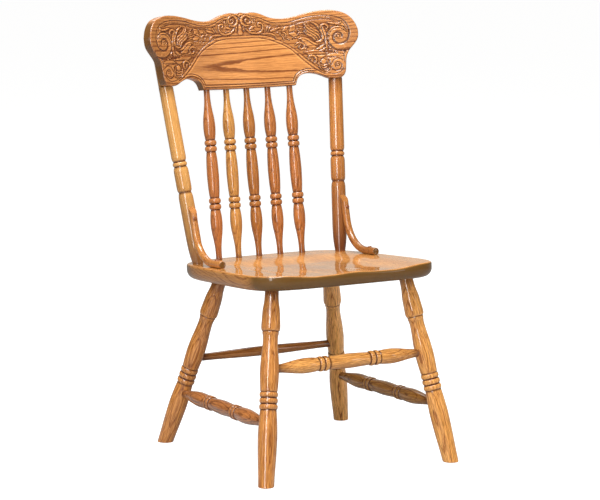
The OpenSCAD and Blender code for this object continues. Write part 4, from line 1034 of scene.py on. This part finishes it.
def pressed(x, z):
    """Height of the pressed pattern over the face, at places of the right half."""
    height = np.where(inside(GROUND, x, z), -GROUND_DEPTH, 0.0)
    for points, widths, rise in STROKES:
        line = through(points, LINE_STEPS)
        spot = near(line, x, z, max(widths) + MARGIN)
        d, share = distance_to(line, x[spot], z[spot])
        w = np.interp(share, np.linspace(0, 1, len(widths)), widths)
        now = height[spot]
        raised = -GROUND_DEPTH + RISE * rise * dome(d, w)
        hollow = -GROUND_DEPTH - STROKE_HOLLOW * (1 - ease((d - w) / HOLLOW_WIDTH))
        beside = np.where(d < w + HOLLOW_WIDTH, np.minimum(now, hollow), now)
        height[spot] = np.where(d < w, raised, beside)
    for centre, radius, rise in BEADS:
        spot = near(np.array([centre]), x, z, radius + MARGIN)
        d = np.hypot(x[spot] - centre[0], z[spot] - centre[1])
        now = height[spot]
        raised = -GROUND_DEPTH + RISE * rise * dome(d, radius)
        beside = np.where(d < radius + HOLLOW_WIDTH, np.minimum(now, -GROUND_DEPTH - BEAD_HOLLOW), now)
        height[spot] = np.where(d < radius, raised, beside)
    for points, width, depth in GROOVES:
        line = through(points, LINE_STEPS)
        spot = near(line, x, z, width + MARGIN)
        d, share = distance_to(line, x[spot], z[spot])
        fade = ease(share / GROOVE_FADE) * ease((1 - share) / GROOVE_FADE)
        height[spot] -= GROOVE_DEEPER * depth * fade * np.exp(-(d / width / GROOVE_WIDER)**2)
    return height


def crest_grid():
    """Upper and lower edge of the rail's right half, and the places of the front face's grid."""
    upper = through(UPPER_EDGE, EDGE_STEPS)
    lower = np.concatenate([[[0, TAB_BOTTOM]], through(LOWER_EDGE, EDGE_STEPS)])
    for line in (upper, lower):
        line[:, 0] = np.interp(line[:, 0], OUTLINE_DRAWN, OUTLINE_BUILT)
    half = upper[-1][0]
    even = np.linspace(-half, half, CREST_COLUMNS + 1)
    # The columns crowd a little where the lower edge turns steeply
    slope = np.gradient(lower[:, 1], lower[:, 0] + 1e-6 * np.arange(len(lower)))
    steep = np.abs(np.interp(np.abs(even), lower[:, 0], slope))
    weight = 1 + np.clip(steep, 0, STEEP_MOST) * STEEP_CROWD
    run = np.concatenate([[0], np.cumsum((weight[1:] + weight[:-1]) / 2)])
    x = np.interp(np.linspace(0, run[-1], CREST_COLUMNS + 1), run, even)
    low = np.interp(np.abs(x), lower[:, 0], lower[:, 1])
    high = np.interp(np.abs(x), upper[:, 0], upper[:, 1])
    t = np.linspace(0, 1, CREST_ROWS + 1)
    grid_x = np.repeat(x[:, None], len(t), 1)
    grid_z = low[:, None] + (high - low)[:, None] * t[None, :]
    return upper, lower, grid_x, grid_z


def tab_lines(lower, grid_x, grid_z):
    """Height of two lines that follow the tab and its arches, with a low ridge between them."""
    edge = distance_to(lower[lower[:, 0] < TAB_EDGE_END], np.abs(grid_x), grid_z)[0]
    lines = sum(np.exp(-((edge - at) / TAB_LINE_WIDTH)**2) for at in TAB_LINES)
    ridge = np.exp(-((edge - TAB_RIDGE) / TAB_RIDGE_WIDTH)**2)
    fade = 1 - ease((np.abs(grid_x) - TAB_LINE_END) / TAB_LINE_FADE)
    return fade * (TAB_RIDGE_HEIGHT * ridge - TAB_LINE_DEPTH * lines)


def crest_glaze_and_light(grid_x, pattern_x, grid_z, relief):
    """Share of glaze and painted shade on the front face: it lies where the relief is lower than what is
    round it, and of rubbed wood and painted highlight where it is higher.
    """
    wide = mean_round(mean_round(relief, CREST_LEVEL_REACH, 0), CREST_LEVEL_REACH, 1)
    # A thin coat of glaze is left outside the plain panel, twice as much on the ground, and painted shade
    # is added towards the left end
    outside = ease((grid_z - np.interp(pattern_x, *zip(*PANEL_TOP))) / PANEL_EDGE)
    thin = THIN_GLAZE * outside * (1 + np.clip(-relief / GROUND_DEPTH, 0, 1))
    thin += LEFT_END_SHADE * ease((-grid_x - LEFT_END_SHADE_START) / LEFT_END_SHADE_RUN)
    glaze_and_painted_light = np.clip((wide - relief - CREST_GLAZE_SHADE_FROM) / CREST_GLAZE_SHADE_RUN, 0, CREST_GLAZE_SHADE_MOST) + thin
    rubbed_and_highlight = np.clip((relief - wide - CREST_RUBBED_HIGHLIGHT_FROM) / CREST_RUBBED_HIGHLIGHT_RUN, 0, CREST_RUBBED_HIGHLIGHT_MOST) - thin
    return np.where(relief - wide > CREST_RUBBED_HIGHLIGHT_FROM, -rubbed_and_highlight, np.clip(glaze_and_painted_light, 0, GLAZE_SHADE_CAP))


def crest_surface():
    """Places of the front face's grid, the height of its relief there, and the glaze, painted shade and
    painted highlight that lie on it.
    """
    upper, lower, grid_x, grid_z = crest_grid()
    # The pattern sits a little to the left of the middle
    shift = PATTERN_SHIFT * (1 - ease(np.abs(grid_x) / PATTERN_SHIFT_REACH))
    pattern_x = np.where(grid_x > -shift, grid_x, -2 * shift - grid_x)
    relief = pressed(pattern_x, grid_z) + tab_lines(lower, grid_x, grid_z)
    # The face is rounded over at its edges
    edge = distance_to(np.concatenate([upper, lower[::-1]]), np.abs(grid_x), grid_z)[0]
    over = np.clip(EDGE_ROUND - edge, 0, EDGE_ROUND)
    height = relief - EDGE_ROUND + np.sqrt(EDGE_ROUND**2 - over**2)
    return grid_x, grid_z, height, crest_glaze_and_light(grid_x, pattern_x, grid_z, relief)


def make_crest():
    """The rail as a flat grid with its relief, given its thickness and bent."""
    grid_x, grid_z, height, glaze_and_painted_light = crest_surface()
    bm = bmesh.new()
    bmesh.ops.create_grid(bm, x_segments=CREST_COLUMNS, y_segments=CREST_ROWS, size=1)
    glaze_and_light_layer = bm.verts.layers.float.new("glaze_and_painted_light")
    rolled = bm.verts.layers.float_vector.new("rolled")
    column, row = bm.verts.layers.int.new("column"), bm.verts.layers.int.new("row")
    back = bm.verts.layers.int.new("back")
    for vert in bm.verts:
        vert[column] = round((vert.co.x + 1) / 2 * CREST_COLUMNS)
        vert[row] = round((vert.co.y + 1) / 2 * CREST_ROWS)
    made = bmesh.ops.extrude_face_region(bm, geom=bm.faces[:], use_keep_orig=True)["geom"]
    for vert in (g for g in made if isinstance(g, bmesh.types.BMVert)):
        vert[back] = 1
    for vert in bm.verts:
        i, j = vert[column], vert[row]
        depth = CREST_THICK if vert[back] else -height[i, j]
        x, z = float(grid_x[i, j]), float(grid_z[i, j])
        vert.co = crest_point(x * (CREST_RADIUS + depth) / CREST_RADIUS, depth, z)
        vert[glaze_and_light_layer] = 0.0 if vert[back] else glaze_and_painted_light[i, j]
        # Place on the flat blank, with the grain, which runs along the rail, as Z
        vert[rolled] = Vector((z, depth, CREST_RADIUS * math.asin(x / CREST_RADIUS))) * MM
    # The back is plain, so its rows are dissolved into tall strips
    level = [e for e in bm.edges if all(v[back] for v in e.verts) and e.verts[0][row] == e.verts[1][row]]
    rows = [e for e in level if 0 < e.verts[0][row] < CREST_ROWS]
    bmesh.ops.dissolve_edges(bm, edges=rows, use_verts=True, use_face_split=False)
    material = lacquered("crest_oak", attribute_of("rolled", "Vector"), CREST_WOOD, {
        "Seed": 3.0, "Ring Spacing": 0.0062, "Pith": (0.038, -0.0645, 0.0), "Taper": 0.014,
        "Wander": 0.004, "Figure": 0.85, "Streaks": 0.5, "End": end_grain((1, 0, 0), (0.4, 0.68)),
        "Glaze And Painted Light": attribute_of("glaze_and_painted_light")}, coat_roughness=0.23)
    finish_piece(bm, "crest_rail_pressed", material, ["crest_rail"])


make_crest()

# Braces

BRACE_SIDES, BRACE_END_RINGS, BRACE_BEND_RINGS = 40, 6, 28
# Height over the floor, in metres, over which a brace has no end grain, because it stands up along its post
BRACE_END_TOP = (0.464, 0.472)


def brace_sections():
    """Middles of a brace's rings along the seat and over it, their turn, their radius and their slant."""
    r, lift = BRACE_DIA / 2, BRACE_DIA / 2 - BRACE_FLAT
    bend_start = BRACE_FOOT - BRACE_FRONT
    sections = []
    for k in range(BRACE_END_RINGS + 1):
        a = math.pi / 2 * k / BRACE_END_RINGS
        y = -BRACE_FRONT + BRACE_END_ROUND * (1 - math.cos(a))
        sections.append((y, lift, 0, r - BRACE_END_ROUND * (1 - math.sin(a)), 0))
    for k in range(BRACE_BEND_RINGS + 1):
        a = BRACE_ANGLE * k / BRACE_BEND_RINGS
        y = bend_start + BRACE_BEND * math.sin(a)
        z = lift + BRACE_BEND * (1 - math.cos(a))
        sections.append((y, z, a, r, 0))
    upper = BRACE_UPPER - r * math.tan(BRACE_SLANT)
    y += math.cos(BRACE_ANGLE) * upper
    z += math.sin(BRACE_ANGLE) * upper
    return sections + [(y, z, BRACE_ANGLE, r, BRACE_SLANT)]


def brace_rings():
    """Rings of a brace, from its rounded front end to the slanted cut on its post, flat where it lies."""
    rings = []
    for y, z, a, radius, slant in brace_sections():
        ring = []
        for i in range(BRACE_SIDES):
            u = 2 * math.pi * i / BRACE_SIDES
            n = radius * math.sin(u)
            s = -n * math.tan(slant)
            ring.append((BRACE_X + radius * math.cos(u), y - n * math.sin(a) + s * math.cos(a),
                         max(z + n * math.cos(a) + s * math.sin(a), 0)))
        rings.append(ring)
    return rings


def brace_end_grain(tree):
    """End grain on the cut front end of a brace, which lies low on the seat."""
    low_down = without(tree, band(tree, coordinate(tree, object_place(tree), 2), BRACE_END_TOP))
    return maths(tree, "MULTIPLY", end_grain(SEAT_GRAIN, (0.7, 0.92))(tree), low_down)


def make_brace(name, wood, seed, side):
    """A brace of the left side, or with side -1 its mirror image."""
    bm = lofted(brace_rings())
    bmesh.ops.scale(bm, vec=(side, 1, 1), verts=bm.verts)
    material = lacquered(name + "_oak", laid_on(Matrix.Translation((BRACE_X, 40, SEAT_HEIGHT))), wood, {
        "Seed": seed, "Pith": (0.04, 0.02, 0.0), "End": brace_end_grain})
    finish_piece(bm, name + "_bent", material, [name], sharp=32)


make_brace("seat_brace_left", TAN, 60.0, 1)
make_brace("seat_brace_right", UMBER, 65.0, -1)

# Plugs and screws keep their solids

SPECKLE_SCALE, SPECKLE_DARK, SPECKLE_ROUGHNESS = 400.0, 0.6, 0.2


def speckled_material(name, base, metallic, roughness):
    material = bpy.data.materials.new(name)
    material.use_nodes = True
    tree = material.node_tree
    shader = tree.nodes["Principled BSDF"]
    inputs = {"Vector": object_place(tree), "Scale": SPECKLE_SCALE}
    speckle = add(tree, "ShaderNodeTexNoise", inputs).outputs[0]
    dark = tuple(SPECKLE_DARK * v for v in base[:3]) + (1,)
    tree.links.new(blend_colours(tree, speckle, base, dark), shader.inputs["Base Color"])
    rough = maths(tree, "MULTIPLY_ADD", speckle, SPECKLE_ROUGHNESS, roughness)
    tree.links.new(rough, shader.inputs["Roughness"])
    shader.inputs["Metallic"].default_value = metallic
    return material


zinc = speckled_material("zinc", ZINC, 1.0, 0.25)
plug_oak = speckled_material("plug_oak", PLUG, 0.0, 0.15)
for name, material in (("crest_screws", zinc), ("brace_screws", zinc), ("brace_plugs", plug_oak)):
    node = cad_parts[name]
    node.data.materials.clear()
    node.data.materials.append(material)

# Camera, floor and light

CAMERA_AZIMUTH, CAMERA_ELEVATION, CAMERA_DISTANCE = math.radians(-29.4), math.radians(9.0), 5.6126
CAMERA_TARGET = Vector((-0.1001, -0.185, 0.501))
CAMERA_LENS, SENSOR, VIEW_END = 151.83, 36.0, 200
LIGHT_TARGET = Vector((0, 0, 0.5))

# The floor and the room are white to the camera, and dimmer and a little warm to the lacquer and as light
WHITE, WARM = (1, 1, 1, 1), (1, 0.975, 0.9, 1)
FLOOR_HALF, FLOOR_TONE, FLOOR_ROUGHNESS, FLOOR_GLOW = 40, (0.36, 0.36, 0.36, 1), 0.9, 0.95
BACKDROP, ROOM = 0.5, 0.09
NEAR_FLOOR, FAR_FLOOR = 0.1, 0.8
# Where behind the chair the floor brightens, in metres, and the room, as the cosine from straight behind
FLOOR_BRIGHTENS, ROOM_BRIGHTENS = (1.6, 4.0), (0.82, 0.96)

# Azimuth and elevation in degrees, distance, width and height in metres, watts, and whether it is mirrored
SOFT_BOXES = {
    "overhead_box": (-42, 76, 3.2, 1.7, 1.7, 158, True),
    "front_box": (-48, 32, 3.4, 1.5, 1.3, 40, True),
    "bright_box": (-47, 13, 3.2, 0.6, 1.6, 36, True),
    "left_strip": (-84, 12, 3.2, 0.3, 1.5, 4, True),
    "right_strip": (33, 10, 3.4, 0.3, 1.3, 4, True),
    "right_box": (52, 18, 3.4, 0.9, 1.4, 44, False),
    "back_box": (160, 50, 3.4, 1.6, 1.2, 34, True),
}


def towards(azimuth, elevation):
    """Direction from the chair, with azimuth 0 in front of it and positive to its right."""
    return Vector((math.sin(azimuth) * math.cos(elevation), -math.cos(azimuth) * math.cos(elevation),
                   math.sin(elevation)))


BEHIND = tuple(-towards(CAMERA_AZIMUTH, 0))


def place_looking(thing, target, back, distance):
    """Puts a camera or a light at a distance from its target, looking at it."""
    thing.location = target + back * distance
    thing.rotation_euler = (-back).to_track_quat("-Z", "Y").to_euler()
    bpy.context.scene.collection.objects.link(thing)


def make_camera():
    data = bpy.data.cameras.new("camera")
    data.lens, data.sensor_width, data.clip_end = CAMERA_LENS, SENSOR, VIEW_END
    camera = bpy.data.objects.new("camera", data)
    place_looking(camera, CAMERA_TARGET, towards(CAMERA_AZIMUTH, CAMERA_ELEVATION), CAMERA_DISTANCE)
    bpy.context.scene.camera = camera


def make_floor():
    bm = bmesh.new()
    bmesh.ops.create_grid(bm, x_segments=1, y_segments=1, size=FLOOR_HALF)
    mesh = bpy.data.meshes.new("floor")
    bm.to_mesh(mesh)
    bm.free()
    material = bpy.data.materials.new("pale_floor")
    material.use_nodes = True
    tree = material.node_tree
    shader = tree.nodes["Principled BSDF"]
    shader.inputs["Base Color"].default_value = FLOOR_TONE
    shader.inputs["Roughness"].default_value = FLOOR_ROUGHNESS
    shader.inputs["Specular IOR Level"].default_value = 0.0
    path = add(tree, "ShaderNodeLightPath").outputs
    glow_colour = blend_colours(tree, path["Is Camera Ray"], WARM, WHITE)
    tree.links.new(glow_colour, shader.inputs["Emission Color"])
    away = vector_maths(tree, "DOT_PRODUCT", object_place(tree), BEHIND, "Value")
    far = band(tree, away, FLOOR_BRIGHTENS)
    glow = maths(tree, "MULTIPLY_ADD", far, BACKDROP * FAR_FLOOR, BACKDROP * NEAR_FLOOR)
    mirrored_glow = maths(tree, "MULTIPLY", path["Is Glossy Ray"], glow)
    strength = maths(tree, "MULTIPLY_ADD", path["Is Camera Ray"], FLOOR_GLOW, mirrored_glow)
    tree.links.new(strength, shader.inputs["Emission Strength"])
    mesh.materials.append(material)
    floor = bpy.data.objects.new("floor", mesh)
    bpy.context.scene.collection.objects.link(floor)


def make_studio():
    """Room that is brighter behind the chair and dimmer round the camera."""
    world = bpy.data.worlds.new("studio")
    bpy.context.scene.world = world
    world.use_nodes = True
    tree = world.node_tree
    background = tree.nodes["Background"]
    direction = add(tree, "ShaderNodeTexCoord").outputs["Generated"]
    behind = band(tree, vector_maths(tree, "DOT_PRODUCT", direction, BEHIND, "Value"), ROOM_BRIGHTENS)
    room = maths(tree, "MULTIPLY_ADD", behind, BACKDROP - ROOM, ROOM)
    seen = add(tree, "ShaderNodeLightPath").outputs["Is Camera Ray"]
    tree.links.new(maths(tree, "MAXIMUM", room, seen), background.inputs["Strength"])
    tree.links.new(blend_colours(tree, seen, WARM, WHITE), background.inputs["Color"])


def soft_box(name, azimuth, elevation, distance, width, height, power, mirrored):
    """Area light that faces the middle of the chair, and that the lacquer mirrors or not."""
    data = bpy.data.lights.new(name, "AREA")
    data.shape = "RECTANGLE"
    data.size, data.size_y, data.energy = width, height, power
    light = bpy.data.objects.new(name, data)
    light.visible_glossy = mirrored
    place_looking(light, LIGHT_TARGET, towards(math.radians(azimuth), math.radians(elevation)), distance)


make_camera()
make_floor()
make_studio()
for name, values in SOFT_BOXES.items():
    soft_box(name, *values)
bpy.context.scene.view_settings.view_transform = "Standard"
